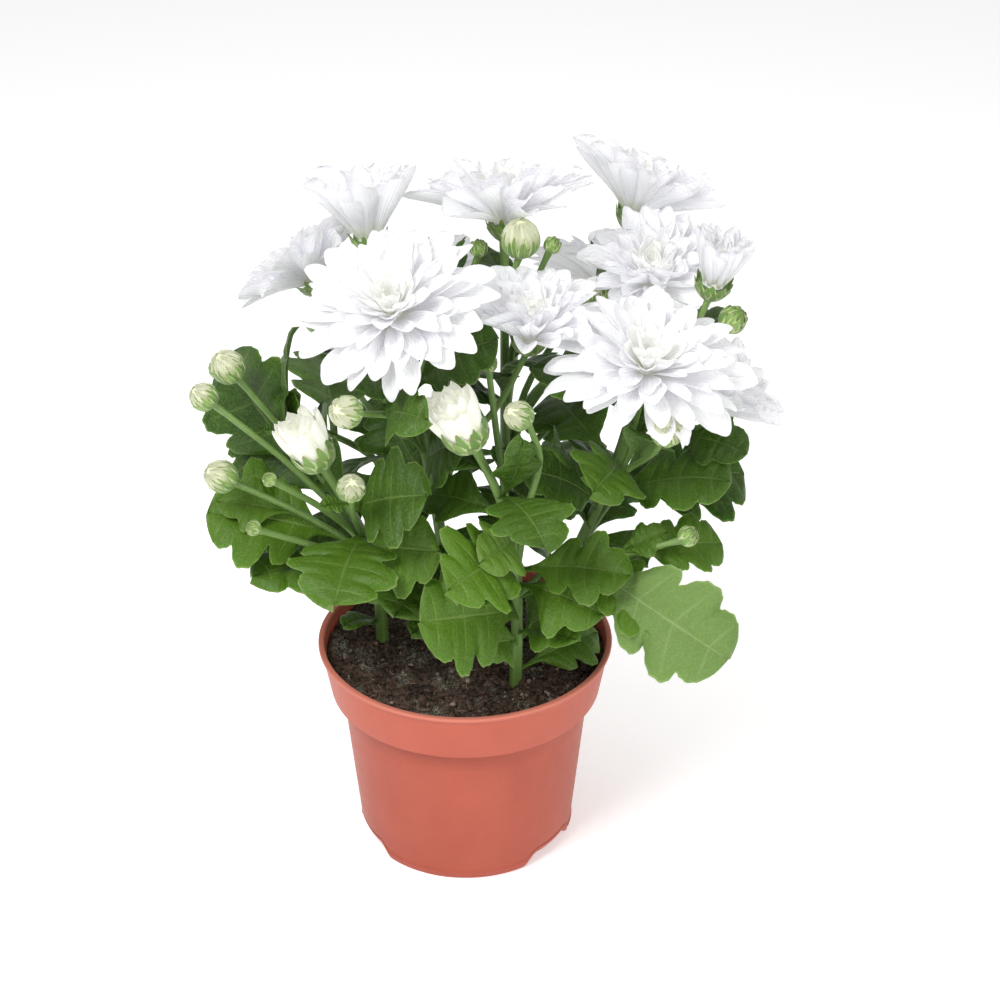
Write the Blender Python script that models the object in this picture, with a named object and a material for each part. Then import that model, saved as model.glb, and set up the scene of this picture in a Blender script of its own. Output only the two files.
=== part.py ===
"""Pot chrysanthemum: a moulded pot, its soil, six leafy stems, twelve white blooms and thirteen buds.

The origin is on the pot's axis, at the floor. +Z is up and -Y is the front. Sizes are in millimetres
until MM turns them into metres.
"""

import math
import random

import bmesh
import bpy
from mathutils import Matrix, Vector
from mathutils.kdtree import KDTree

MM = 0.001
GAP = 0.3  # between two pieces that touch
UP = Vector((0, 0, 1))

# Pot: a tapered plastic pot of the 120 mm size, with a collar and three raised drain pockets.
POT_TOP_R = 60.0
POT_HEIGHT = 91.0
POT_BASE_R = 43.9
POT_SHOULDER_R = 50.8
POT_SHOULDER_Z = 68.5
COLLAR_LOW_R = 55.4
COLLAR_TOP_R = 58.9
LIP_HEIGHT = 1.8
WALL = 1.3
POT_SIDES = 36
POCKET_COUNT = 3
POCKET_CENTRE_DEG = -36.0
POCKET_HALF_DEG = 21.0
POCKET_LIFT = 4.6
POCKET_INNER_R = 31.0
DRAIN_HOLE_R = 2.6
DRAIN_HOLE_AT_R = 37.0

# Soil: fills the pot to just under the lip, with a lumpy top.
SOIL_Z = 86.0
SOIL_LUMP = 1.8
SOIL_SIDES = 18
SOIL_RINGS = (0.0, 20.0, 40.0, 56.0)
STEM_DEPTH = 20.0
HOLE_SIDES = 8

# Leafy stems: where each leaves the soil, and its radius there.
STEM_ROOTS = {
    "left": (-34, 5),
    "front": (20, -28),
    "centre": (-5, -8),
    "right": (36, 6),
    "back_left": (-21, 31),
    "back_right": (17, 35),
}
STEM_R = 2.7
SHOOT_R = 1.15
STEM_SIDES = 5
SHOOT_SIDES = 4
MAIN_STATIONS = 7
SHOOT_STATIONS = 4

# Heads. x, y, z is where the stem ends under the head, in mm; lean is from upright and heading is from
# +X towards +Y, in degrees; size is the outer petals' length or the bud's radius; open goes from 0,
# closed, to 1, flat. fork is how far up the main stem the side shoot leaves it; the first head of each
# stem ends the main stem itself.
HEADS = {
    "bud_01": ("half", "left", 0.0, (-53, -40, 194), 27, -147, 22.0, 0.0),
    "bud_02": ("bud", "left", 0.55, (-41, -57, 191), 37, -80, 5.0, 0.0),
    "bud_03": ("bud", "left", 0.40, (-87, -33, 182), 53, -158, 6.0, 0.0),
    "bud_04": ("bud", "left", 0.45, (-85, -18, 219), 33, -158, 6.2, 0.0),
    "bud_05": ("bud", "left", 0.50, (-93, -30, 214), 45, -164, 5.0, 0.0),
    "green_01": ("green", "left", 0.50, (-70, -50, 192), 50, -135, 2.3, 0.0),
    "green_02": ("green", "left", 0.35, (-77, -45, 168), 55, -150, 2.6, 0.0),
    "bud_06": ("half", "front", 0.0, (4, -48, 207), 28, -148, 24.0, 0.0),
    "bud_07": ("bud", "front", 0.50, (24, -52, 219), 52, -140, 5.2, 0.0),
    "green_03": ("green", "front", 0.40, (83, -44, 163), 49, -23, 3.7, 0.0),
    "green_04": ("green", "front", 0.60, (10, -25, 226), 20, -100, 3.1, 0.0),
    "bloom_01": ("bloom", "centre", 0.0, (-24, -31, 247), 27, -103, 34.0, 0.95),
    "bud_08": ("bud", "centre", 0.62, (-38, -66, 229), 60, -126, 5.8, 0.0),
    "bloom_02": ("bloom", "centre", 0.45, (25, -10, 227), 9, -72, 28.0, 0.50),
    "bud_09": ("bud", "centre", 0.60, (22, 14, 255), 6, -90, 7.2, 0.0),
    "green_05": ("green", "centre", 0.62, (-25, -30, 205), 30, -60, 2.3, 0.0),
    "bloom_03": ("bloom", "right", 0.0, (68, -29, 222), 18, -75, 35.0, 0.97),
    "bud_10": ("bud", "right", 0.60, (75, -52, 212), 37, -90, 5.8, 0.0),
    "bloom_04": ("bloom", "right", 0.35, (92, 0, 195), 44, -12, 25.0, 0.36),
    "bloom_05": ("bloom", "right", 0.50, (94, 4, 243), 12, -14, 21.0, 0.06),
    "green_06": ("green", "right", 0.55, (100, -1, 232), 40, -38, 5.2, 0.0),
    "bloom_06": ("bloom", "right", 0.55, (74, 37, 229), 24, -97, 29.0, 0.60),
    "bloom_07": ("bloom", "back_left", 0.0, (-36, 30, 250), 9, 140, 31.0, 0.26),
    "bloom_08": ("bloom", "back_left", 0.45, (-56, 40, 228), 42, 158, 28.0, 0.72),
    "bloom_09": ("bloom", "back_left", 0.50, (-12, 78, 205), 38, 104, 32.0, 0.90),
    "bud_11": ("bud", "back_left", 0.40, (-60, 80, 190), 40, 125, 5.2, 0.0),
    "green_07": ("green", "back_left", 0.60, (6, 25, 250), 15, -90, 3.2, 0.0),
    "green_08": ("green", "back_left", 0.35, (-95, 30, 195), 45, 165, 4.0, 0.0),
    "bloom_10": ("bloom", "back_right", 0.0, (16, 34, 254), 14, 90, 35.0, 0.70),
    "bloom_11": ("bloom", "back_right", 0.50, (66, 62, 246), 21, 34, 34.0, 0.52),
    "bloom_12": ("bloom", "back_right", 0.50, (58, 84, 202), 38, 72, 32.0, 0.90),
    "bud_12": ("bud", "back_right", 0.50, (22, 104, 186), 38, 88, 5.6, 0.0),
    "bud_13": ("bud", "back_right", 0.45, (49, 30, 226), 5, 0, 4.6, 0.0),
    "green_09": ("green", "back_right", 0.40, (95, 60, 195), 45, 30, 4.0, 0.0),
    "green_10": ("green", "back_right", 0.60, (33, 15, 256), 25, -20, 3.0, 0.0),
}

# Leaves seen in the front. Each row is the shoot that carries the leaf, how far up it, the leaf's tip in
# mm, the blade's width as a share of the leaf's length, its arch, and its roll towards the front in
# degrees.
LEAVES = (
    ("bud_01", 0.65, (-48, -66, 142), 0.93, 0.14, 20),
    ("bud_01", 0.60, (-17, -56, 156), 0.83, 0.10, 35),
    ("bud_01", 0.45, (-81, -41, 145), 0.62, 0.08, 20),
    ("bud_01", 0.52, (-82, 6, 123), 0.62, 0.12, 20),
    ("bud_03", 0.35, (-99, -12, 157), 0.85, 0.10, 30),
    ("bud_03", 0.60, (-95, -30, 168), 0.65, 0.05, 20),
    ("bud_04", 0.35, (-97, -5, 185), 0.83, 0.12, 30),
    ("bud_04", 0.50, (-94, -2, 205), 0.80, 0.10, 40),
    ("bud_04", 0.30, (-88, -14, 186), 0.65, 0.10, 20),
    ("bud_02", 0.45, (-55, 8, 183), 0.83, 0.10, 45),
    ("bud_01", 0.80, (-13, -53, 188), 0.90, 0.10, 20),
    ("bloom_01", 0.58, (2, -41, 198), 0.70, 0.10, 30),
    ("bud_08", 0.70, (-12, -72, 230), 0.80, 0.12, 20),
    ("bud_05", 0.55, (-66, 0, 226), 0.65, 0.06, 40),
    ("green_08", 0.50, (-56, 14, 214), 0.80, 0.06, 60),
    ("bud_05", 0.80, (-63, -18, 217), 0.62, 0.10, 20),
    ("bud_01", 0.85, (-77, -7, 177), 0.65, 0.08, 20),
    ("bud_01", 0.76, (-72, -51, 182), 0.62, 0.10, 20),
    ("bud_01", 0.70, (-59, -47, 168), 0.62, 0.10, 20),
    ("bud_02", 0.80, (-52, -58, 192), 0.62, 0.05, 20),
    ("bud_02", 0.70, (-24, -16, 177), 0.62, 0.10, 30),
    ("bud_06", 0.35, (-16, -61, 137), 0.88, 0.10, 30),
    ("bloom_01", 0.35, (-29, -49, 141), 0.85, 0.10, 20),
    ("bud_06", 0.60, (-5, -72, 158), 0.90, 0.12, 20),
    ("bud_01", 0.18, (-49, -9, 102), 0.80, 0.10, 20),
    ("bloom_01", 0.20, (-21, -27, 109), 0.65, 0.10, 20),
    ("bloom_03", 0.72, (24, 34, 188), 0.62, 0.10, 60),
    ("bloom_03", 0.66, (46, -31, 184), 0.80, 0.15, 20),
    ("bloom_03", 0.55, (22, -25, 183), 0.62, 0.15, 20),
    ("bud_06", 0.62, (7, -62, 170), 0.88, 0.15, 20),
    ("bud_06", 0.50, (64, -54, 153), 0.62, 0.12, 20),
    ("bloom_03", 0.60, (96, -38, 187), 0.65, 0.08, 30),
    ("bloom_04", 0.40, (112, 12, 161), 0.80, 0.12, 30),
    ("bloom_04", 0.80, (109, -15, 196), 0.90, 0.12, 30),
    ("green_03", 0.50, (106, -58, 126), 0.62, 0.08, 50),
    ("green_03", 0.70, (101, -24, 150), 0.62, 0.05, 10),
    ("green_03", 0.40, (90, -47, 141), 0.70, 0.10, 10),
    ("bloom_03", 0.40, (72, -27, 154), 0.70, 0.12, 20),
    ("green_03", 0.65, (90, -39, 142), 0.62, 0.10, 20),
    ("bud_06", 0.45, (43, -63, 134), 0.90, 0.20, 30),
    ("bloom_03", 0.20, (69, -28, 118), 0.62, 0.10, 20),
    ("bud_06", 0.27, (44, -52, 123), 0.62, 0.12, 20),
    ("bud_06", 0.15, (54, -6, 97), 0.62, 0.12, 10),
    ("bud_06", 0.40, (7, -8, 121), 0.80, 0.10, 20),
    ("bud_06", 0.25, (8, -47, 123), 0.90, 0.10, 20),
    ("bud_06", 0.80, (23, -50, 209), 0.65, 0.08, 40),
    ("bud_07", 0.75, (37, -23, 189), 0.65, 0.12, 20),
    ("bud_06", 0.88, (9, -16, 195), 0.65, 0.08, 20),
    ("bud_10", 0.40, (72, -43, 207), 0.65, 0.10, 20),
    ("green_09", 0.75, (108, 52, 200), 0.80, 0.10, 20),
    ("green_09", 0.60, (106, 40, 186), 0.70, 0.10, 20),
    ("bloom_11", 0.75, (50, 41, 265), 0.65, 0.06, 60),
    ("bloom_07", 0.85, (-14, 56, 244), 0.80, 0.10, 40),
    ("green_07", 0.60, (0, 26, 256), 0.65, 0.06, 40),
    ("bloom_07", 0.88, (-58, 36, 248), 0.65, 0.10, 30),
    ("bloom_10", 0.62, (2, -8, 209), 0.70, 0.10, 30),
    ("bloom_10", 0.70, (37, -10, 211), 0.65, 0.10, 30),
)

# The other leaves grow by a rule: up each main stem, a turn apart, the longest that finds room.
LEAF_TURN_DEG = 137.5
LEAF_SHARES = (0.24, 0.32, 0.40, 0.48, 0.56, 0.64, 0.72, 0.80, 0.88)
LEAF_LENGTHS = (44.0, 40.0, 35.0, 28.0)
LEAF_LEANS = (62.0, 74.0, 50.0, 40.0, 86.0)
LEAF_SWINGS = (0, 25, -25)
LEAF_WIDTH = 0.74
LEAF_ARCH = 0.12
STEM_HEADING_DEG = 50.0
# How a listed leaf is bent, turned and made smaller until it is clear.
LISTED_SIZES = (1.0, 0.88, 0.76, 0.64)
LISTED_TURNS = (0, 12, -12, 24, -24)
LISTED_LIFTS = (0, 6, -6, 12, -12, 18)
# The least distance between sampled points: to other nodes, for rule leaves and listed leaves, and to
# the stem's own leaves, which may touch.
LEAF_ROOM = 3.8
LISTED_ROOM = 3.2
OWN_ROOM = 2.0
SAMPLE_SHARES = (0.26, 0.34, 0.42, 0.50, 0.58, 0.66, 0.74, 0.82, 0.90, 1.0)
SAMPLE_ACROSS = (-1.0, -0.67, -0.33, 0.0, 0.33, 0.67, 1.0)
STEM_SAMPLES = 60
LEAF_THICK = 1.2
# Stations of a leaf's blade: share of the length, half width as a share of the widest, and how far the
# margin sweeps forward there.
LEAF_STATIONS = (
    (0.0, 0.09, 0.0),
    (0.24, 0.14, 0.0),
    (0.42, 0.80, 0.08),
    (0.53, 0.54, 0.02),
    (0.66, 1.0, 0.07),
    (0.80, 0.64, 0.03),
)
SMALL_LEAF_STATIONS = (
    (0.0, 0.12, 0.0),
    (0.26, 0.18, 0.0),
    (0.56, 1.0, 0.09),
    (0.74, 0.55, 0.03),
)
SMALL_LEAF = 40.5
LEAF_FOLD = 0.22
LEAF_OUTWARD = 0.6

# Bloom: rings of petals from the outermost (0) to the eye (1), as shares of the petal length.
RING_COUNT = 8
CALYX_HEIGHT = 4.0
CALYX_R = 6.6
CORE_R = 6.0
PETAL_WIDTH = 0.31
PETAL_THICK = 1.1
PETAL_ROOT_SHARE = 0.16
MOST_PETALS = 11
EYE_PETAL_SHARE = 0.40
BIG_BLOOM = 32.0
HALF_BUD_PETALS = 5
BIG_RINGS = (0, 3, 6)
SMALL_RINGS = (1, 5)


def clear_scene():
    """Removes every object of the startup scene."""
    for obj in list(bpy.data.objects):
        bpy.data.objects.remove(obj)


def make_material(name, colour, roughness):
    """A Principled material of one colour."""
    material = bpy.data.materials.new(name)
    material.use_nodes = True
    shader = material.node_tree.nodes["Principled BSDF"]
    shader.inputs["Base Color"].default_value = (*colour, 1)
    shader.inputs["Roughness"].default_value = roughness
    shader.inputs["Metallic"].default_value = 0
    return material


def new_object(name, points, faces, material=None):
    """A mesh object from points in mm, its faces turned outwards."""
    mesh = bpy.data.meshes.new(name)
    mesh.from_pydata([Vector(p) * MM for p in points], [], faces)
    work = bmesh.new()
    work.from_mesh(mesh)
    bmesh.ops.recalc_face_normals(work, faces=work.faces)
    work.to_mesh(mesh)
    work.free()
    if material:
        mesh.materials.append(material)
    obj = bpy.data.objects.new(name, mesh)
    bpy.context.scene.collection.objects.link(obj)
    return obj


def join_pieces(base, pieces, operation="UNION", solver="MANIFOLD"):
    """Joins closed pieces to base, or cuts them from it, in one Boolean, and removes the pieces."""
    if not pieces:
        return base
    group = bpy.data.collections.new(base.name + "_pieces")
    bpy.context.scene.collection.children.link(group)
    for piece in pieces:
        bpy.context.scene.collection.objects.unlink(piece)
        group.objects.link(piece)
    boolean = base.modifiers.new("join", "BOOLEAN")
    boolean.operation = operation
    boolean.solver = solver
    boolean.operand_type = "COLLECTION"
    boolean.collection = group
    graph = bpy.context.evaluated_depsgraph_get()
    joined = bpy.data.meshes.new_from_object(base.evaluated_get(graph))
    base.modifiers.clear()
    base.data = joined
    for piece in pieces:
        bpy.data.objects.remove(piece)
    bpy.data.collections.remove(group)
    return base


def ring_faces(rings, sides, closed_ends=True):
    """Faces of a tube whose points lie ring after ring, with a flat face at each end."""
    faces = []
    for r in range(rings - 1):
        for s in range(sides):
            a = r * sides + s
            b = r * sides + (s + 1) % sides
            faces.append((a, b, b + sides, a + sides))
    if closed_ends:
        faces.append(tuple(reversed(range(sides))))
        faces.append(tuple(range((rings - 1) * sides, rings * sides)))
    return faces


def frame_along(direction, hint=UP):
    """Two unit vectors across a direction; the second is as near to hint as it can be."""
    along = direction.normalized()
    side = along.cross(hint)
    if side.length < 1e-4:
        side = along.cross(Vector((0, 1, 0)))
    side.normalize()
    return side, side.cross(along)


def tube(name, path, radii, sides):
    """A round stem along a path, with a radius at each point."""
    points = []
    side = None
    for i, centre in enumerate(path):
        ahead = path[min(i + 1, len(path) - 1)] - path[max(i - 1, 0)]
        if side is None:
            side, over = frame_along(ahead)
        else:
            over = side.cross(ahead).normalized()
            side = ahead.cross(over).normalized()
        for s in range(sides):
            turn = math.tau * s / sides
            points.append(centre + radii[i] * (side * math.cos(turn) + over * math.sin(turn)))
    return new_object(name, points, ring_faces(len(path), sides))


def bezier(p0, p1, p2, p3, t):
    """A point on the cubic curve with these four control points."""
    u = 1 - t
    return p0 * u**3 + p1 * (3 * u * u * t) + p2 * (3 * u * t * t) + p3 * t**3


def polar(lean_deg, heading_deg):
    """The unit vector that leans from upright towards a heading."""
    lean, heading = math.radians(lean_deg), math.radians(heading_deg)
    return Vector((math.sin(lean) * math.cos(heading), math.sin(lean) * math.sin(heading), math.cos(lean)))


def turned(profile, sides, shape=None):
    """Points and faces of a closed outline of (radius, height) turned round the pot's axis. A radius of 0
    is one point on the axis, and shape(x, y, z) may move a point."""
    points, rows = [], []
    for radius, height in profile:
        if radius == 0:
            rows.append([len(points)])
            points.append(Vector((0, 0, height)))
            continue
        rows.append(list(range(len(points), len(points) + sides)))
        for s in range(sides):
            turn = math.tau * s / sides
            points.append(Vector((radius * math.cos(turn), radius * math.sin(turn), height)))
    faces = []
    for low, high in zip(rows, rows[1:]):
        for s in range(sides):
            n = (s + 1) % sides
            if len(low) == 1:
                faces.append((low[0], high[n], high[s]))
            elif len(high) == 1:
                faces.append((low[s], low[n], high[0]))
            else:
                faces.append((low[s], low[n], high[n], high[s]))
    if shape:
        points = [shape(p) for p in points]
    return points, faces


def smooth(x):
    """0 below 0, 1 above 1, and a soft step between."""
    x = min(1.0, max(0.0, x))
    return x * x * (3 - 2 * x)


def pocket_share(x, y):
    """How much of the drain pockets' lift a direction gets, from 0 to 1."""
    heading = math.degrees(math.atan2(y, x))
    pitch = 360 / POCKET_COUNT
    off = abs((heading - POCKET_CENTRE_DEG + pitch / 2) % pitch - pitch / 2)
    return smooth((POCKET_HALF_DEG - off) / 9)


def pocket_shape(point):
    """Lifts the outer edge of the pot's bottom in the three drain pockets."""
    radius = math.hypot(point.x, point.y)
    if radius < 1 or point.z > 2 * POCKET_LIFT:
        return point
    reach = smooth((radius - POCKET_INNER_R) / 6)
    fade = 1 - smooth((point.z - 2) / (2 * POCKET_LIFT - 2))
    return point + UP * (POCKET_LIFT * pocket_share(point.x, point.y) * reach * fade)


def build_pot(material):
    """The pot, open at the top, with its collar, lip, drain pockets and a hole in each pocket."""
    inner = WALL
    lip_z = POT_HEIGHT - LIP_HEIGHT
    outline = [
        (0, 0),
        (POCKET_INNER_R, 0),
        (POCKET_INNER_R + 5, 0),
        (POT_BASE_R - 0.8, 0),
        (POT_BASE_R, 0.8),
        (POT_BASE_R + 0.9, 2 * POCKET_LIFT),
        (POT_SHOULDER_R, POT_SHOULDER_Z),
        (COLLAR_LOW_R, POT_SHOULDER_Z + 1.2),
        (COLLAR_TOP_R, lip_z),
        (POT_TOP_R, lip_z + 0.3),
        (POT_TOP_R, POT_HEIGHT),
        (COLLAR_TOP_R - inner, POT_HEIGHT),
        (COLLAR_LOW_R - inner, POT_SHOULDER_Z + 2.2),
        (POT_SHOULDER_R - inner, POT_SHOULDER_Z + 1.2),
        (POT_BASE_R - inner + 0.9, 2 * POCKET_LIFT + inner),
        (POCKET_INNER_R + 5 - inner, inner),
        (POCKET_INNER_R - inner, inner),
        (0, inner),
    ]
    points, faces = turned(outline, POT_SIDES, pocket_shape)
    pot = new_object("pot", points, faces, material)
    holes = []
    for i in range(POCKET_COUNT):
        turn = math.radians(POCKET_CENTRE_DEG + i * 360 / POCKET_COUNT)
        foot = Vector((DRAIN_HOLE_AT_R * math.cos(turn), DRAIN_HOLE_AT_R * math.sin(turn), -1))
        path = [foot, foot + UP * 12]
        holes.append(tube("drain", path, [DRAIN_HOLE_R] * 2, HOLE_SIDES))
    return join_pieces(pot, holes, "DIFFERENCE", "EXACT")


def collar_inside(z):
    """The radius of the collar's inner wall at a height."""
    low = POT_SHOULDER_Z + 2.2
    share = (z - low) / (POT_HEIGHT - low)
    return COLLAR_LOW_R - WALL + (COLLAR_TOP_R - COLLAR_LOW_R) * share


def soil_height(x, y):
    """The lumpy top of the soil."""
    return SOIL_Z + SOIL_LUMP * (
        0.5 * math.sin(0.13 * x + 1.1) * math.cos(0.11 * y)
        + 0.35 * math.sin(0.31 * x - 0.23 * y)
        + 0.25 * math.cos(0.37 * y + 0.19 * x)
    )


def build_soil(material):
    """The soil, with a plain hole for each stem and a gap to the pot's wall."""
    inset = WALL + GAP
    outline = [(0, WALL + GAP)]
    outline.append((POCKET_INNER_R - 2 * inset, WALL + GAP))
    outline.append((POT_BASE_R - inset - 1.2, 2 * POCKET_LIFT + WALL))
    outline.append((POT_SHOULDER_R - inset - 0.2, POT_SHOULDER_Z + 1.0))
    outline += [(collar_inside(z) - 2 * GAP, z) for z in (POT_SHOULDER_Z + 3.4, SOIL_Z - 2.5)]
    outline += [(r, SOIL_Z) for r in reversed(SOIL_RINGS)]

    def lump(point):
        if point.z < SOIL_Z - 0.01:
            return point
        edge = smooth((math.hypot(point.x, point.y) - 44) / 12)
        return Vector((point.x, point.y, soil_height(point.x, point.y) * (1 - edge) + SOIL_Z * edge))

    points, faces = turned(outline, SOIL_SIDES, lump)
    soil = new_object("soil", points, faces, material)
    holes = []
    for stem in STEM_ROOTS:
        foot, above = shoot_path(first_head(stem))[:2]
        past = (above - foot).normalized()
        path = [foot - past * 2 * GAP, above + past * 5]
        holes.append(tube("hole_" + stem, path, [STEM_R + 4 * GAP] * 2, HOLE_SIDES))
    return join_pieces(soil, holes, "DIFFERENCE", "EXACT")


def head_axis(head):
    """The direction in which a head faces."""
    return polar(head[4], head[5])


def first_head(stem):
    """The name of the head that ends a main stem."""
    return next(name for name, head in HEADS.items() if head[1] == stem)


def main_curve(stem):
    """The main stem's curve as a function from 0, in the soil, to 1, under its first head."""
    first = HEADS[first_head(stem)]
    x, y = STEM_ROOTS[stem]
    root = Vector((x, y, SOIL_Z - STEM_DEPTH))
    end = Vector(first[3])
    rise = (end - root).length
    axis = head_axis(first)

    def curve(t):
        return bezier(root, root + UP * (0.45 * rise), end - axis * (0.40 * rise), end, t)

    return curve


def shoot_curve(name):
    """The curve of the stem or side shoot that ends under a head."""
    head = HEADS[name]
    main = main_curve(head[1])
    if head[2] == 0:
        return main
    fork = on_shoot(first_head(head[1]), head[2])
    ahead = (on_shoot(first_head(head[1]), head[2] + 0.05) - fork).normalized()
    end = Vector(head[3])
    reach = (end - fork).length
    axis = head_axis(head)

    def curve(t):
        return bezier(fork, fork + ahead * (0.35 * reach), end - axis * (0.35 * reach), end, t)

    return curve


def shoot_path(name):
    """The points of a stem or side shoot, between which its tube runs straight."""
    count = MAIN_STATIONS if HEADS[name][2] == 0 else SHOOT_STATIONS
    curve = shoot_curve(name)
    return [curve(i / (count - 1)) for i in range(count)]


def on_shoot(name, share):
    """The point a share of the way along a shoot's tube, on its middle line."""
    path = shoot_path(name)
    place = share * (len(path) - 1)
    step = min(int(place), len(path) - 2)
    return path[step].lerp(path[step + 1], place - step)


def stem_pieces(stem):
    """The main stem and its side shoots, as closed tubes that run into one another."""
    pieces = []
    for name, head in HEADS.items():
        if head[1] != stem:
            continue
        path = shoot_path(name)
        stops = [i / (len(path) - 1) for i in range(len(path))]
        if head[2] == 0:
            radii = [STEM_R + (SHOOT_R * 1.3 - STEM_R) * t for t in stops]
            pieces.append(tube(stem, path, radii, STEM_SIDES))
        else:
            radii = [SHOOT_R * (1.25 - 0.25 * t) for t in stops]
            pieces.append(tube(name, path, radii, SHOOT_SIDES))
    return pieces


def leaf_line(base, tip, arch, roll):
    """A leaf's midrib as a function of 0 to 1, and the directions across it and out of its upper face."""
    along = tip - base
    out = Vector((base.x + tip.x, base.y + tip.y, 0))
    out.normalize()
    side, over = frame_along(along, UP + LEAF_OUTWARD * out)
    spin = Matrix.Rotation(math.radians(roll if along.x > 0 else -roll), 3, along)
    side, over = spin @ side, spin @ over

    def midrib(s):
        return base + along * s + over * (4 * arch * along.length * s * (1 - s))

    return midrib, side, over


def leaf_piece(leaf):
    """A leaf with its petiole: a lens-shaped blade with two pairs of side lobes and an end lobe."""
    base, tip, width, arch, roll = leaf
    midrib, side, over = leaf_line(base, tip, arch, roll)
    length = (tip - base).length
    stations = LEAF_STATIONS if length > SMALL_LEAF else SMALL_LEAF_STATIONS
    points = []
    for s, share, sweep in stations:
        half = max(1.0, share * width * length / 2)
        margin = midrib(min(1.0, s + sweep)) + over * (LEAF_FOLD * half)
        middle = midrib(s)
        points += [margin - side * half, middle + over * (LEAF_THICK / 2)]
        points += [margin + side * half, middle - over * (LEAF_THICK / 2)]
    points.append(midrib(1.0))
    faces = [(0, 1, 3), (1, 2, 3)]
    for r in range(0, 4 * (len(stations) - 1), 4):
        for margin in (r, r + 2):
            for middle in (r + 1, r + 3):
                faces += [(margin, middle, middle + 4), (margin, middle + 4, margin + 4)]
    last = 4 * (len(stations) - 1)
    faces += [(last + k, last + (k + 1) % 4, last + 4) for k in range(4)]
    return new_object("leaf", points, faces)


def leaf_samples(leaf):
    """Points spread over a leaf's blade, to tell how near another thing is."""
    base, tip, width, arch, roll = leaf
    midrib, side, over = leaf_line(base, tip, arch, roll)
    half = width * (tip - base).length / 2
    samples = []
    for s in SAMPLE_SHARES:
        reach = half * min(1.0, 4.5 * (1.02 - s))
        for across in SAMPLE_ACROSS:
            samples.append(midrib(s) + side * (across * reach) + over * (LEAF_FOLD * abs(across) * reach))
    return samples


def head_samples(head):
    """Points spread over a bloom or bud."""
    place = head_matrix(head)
    size = head[6]
    samples = []
    for i in range(16):
        spin = Matrix.Rotation(math.tau * i / 16, 3, "Z")
        if head[0] == "bloom":
            outer = 74 - 72 * head[7]
            for elevation in (outer, (outer + 84) / 2):
                for t in (0.2, 0.4, 0.6, 0.8, 1.0):
                    out, height, _ = petal_line(elevation, 30, size + 2, t)
                    samples.append(place @ (spin @ Vector((3 + out, 0, 5 + height))))
        else:
            radius = 0.4 * size if head[0] == "half" else size
            top = size if head[0] == "half" else 1.8 * size
            for t in (0.1, 0.5, 0.9):
                samples.append(place @ (spin @ Vector((radius, 0, top * t))))
    return samples


class Room:
    """What stands where, by node, to tell whether a leaf would touch it."""

    def __init__(self):
        self.points = {}
        self.trees = {}

    def take(self, owner, points):
        """Marks points as taken by a node."""
        taken = self.points.setdefault(owner, [])
        taken += points
        tree = KDTree(len(taken))
        for i, point in enumerate(taken):
            tree.insert(point, i)
        tree.balance()
        self.trees[owner] = tree

    def clear(self, owner, points, gap):
        """Whether none of the points lies in the soil or nearer than gap to another node. To the node's
        own leaves, OWN_ROOM is enough."""
        if min(point.z for point in points) < SOIL_Z + gap:
            return False
        for other, tree in self.trees.items():
            least = OWN_ROOM if other == owner else gap
            if any(tree.find(point)[2] < least for point in points):
                return False
        return True

    def settle(self, owner, choices, gap):
        """The first of several leaves that is clear, which then takes its place, or None."""
        for leaf in choices:
            samples = leaf_samples(leaf)
            if self.clear(owner, samples, gap):
                self.take(owner, samples)
                return leaf
        return None


def bent_leaves(leaf):
    """A leaf as listed, then bent and turned more and more, and at last smaller."""
    base, tip, width, arch, roll = leaf
    for size in LISTED_SIZES:
        for turn in LISTED_TURNS:
            for lift in LISTED_LIFTS:
                along = Matrix.Rotation(math.radians(turn), 3, "Z") @ (tip - base)
                yield base, base + size * along + UP * lift, width, arch, roll


def rule_leaves(base, heading):
    """Leaves that may grow from a point on a main stem, the longest first."""
    for length in LEAF_LENGTHS:
        for swing in LEAF_SWINGS:
            for lean in LEAF_LEANS:
                yield base, base + length * polar(lean, heading + swing), LEAF_WIDTH, LEAF_ARCH, 0


def all_leaves():
    """Every leaf of the plant by stem: the listed ones, then those that the rule finds room for."""
    leaves = {stem: [] for stem in STEM_ROOTS}
    room = Room()
    for name, head in HEADS.items():
        curve = shoot_curve(name)
        room.take(name, head_samples(head))
        room.take(head[1], [curve(i / STEM_SAMPLES) for i in range(8, STEM_SAMPLES + 1)])
    for shoot, share, tip, width, arch, roll in LEAVES:
        stem = HEADS[shoot][1]
        listed = (on_shoot(shoot, share), Vector(tip), width, arch, roll)
        leaf = room.settle(stem, bent_leaves(listed), LISTED_ROOM)
        if leaf:
            leaves[stem].append(leaf)
    for number, stem in enumerate(STEM_ROOTS):
        for step, share in enumerate(LEAF_SHARES):
            base = on_shoot(first_head(stem), share)
            choices = rule_leaves(base, LEAF_TURN_DEG * step + STEM_HEADING_DEG * number)
            leaf = room.settle(stem, choices, LEAF_ROOM)
            if leaf:
                leaves[stem].append(leaf)
    return leaves


def head_matrix(head):
    """The frame of a head: +Z along its axis, at the point where its stem ends."""
    axis = head_axis(head)
    side, over = frame_along(axis, Vector((0, 1, 0.01)))
    turn = Matrix((side, over, axis)).transposed()
    return Matrix.Translation(Vector(head[3])) @ turn.to_4x4()


def turned_piece(name, outline, sides, place, material=None):
    """A turned solid of (radius, height) points set in a head's frame."""
    points, faces = turned(outline, sides)
    return new_object(name, [place @ p for p in points], faces, material)


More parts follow.
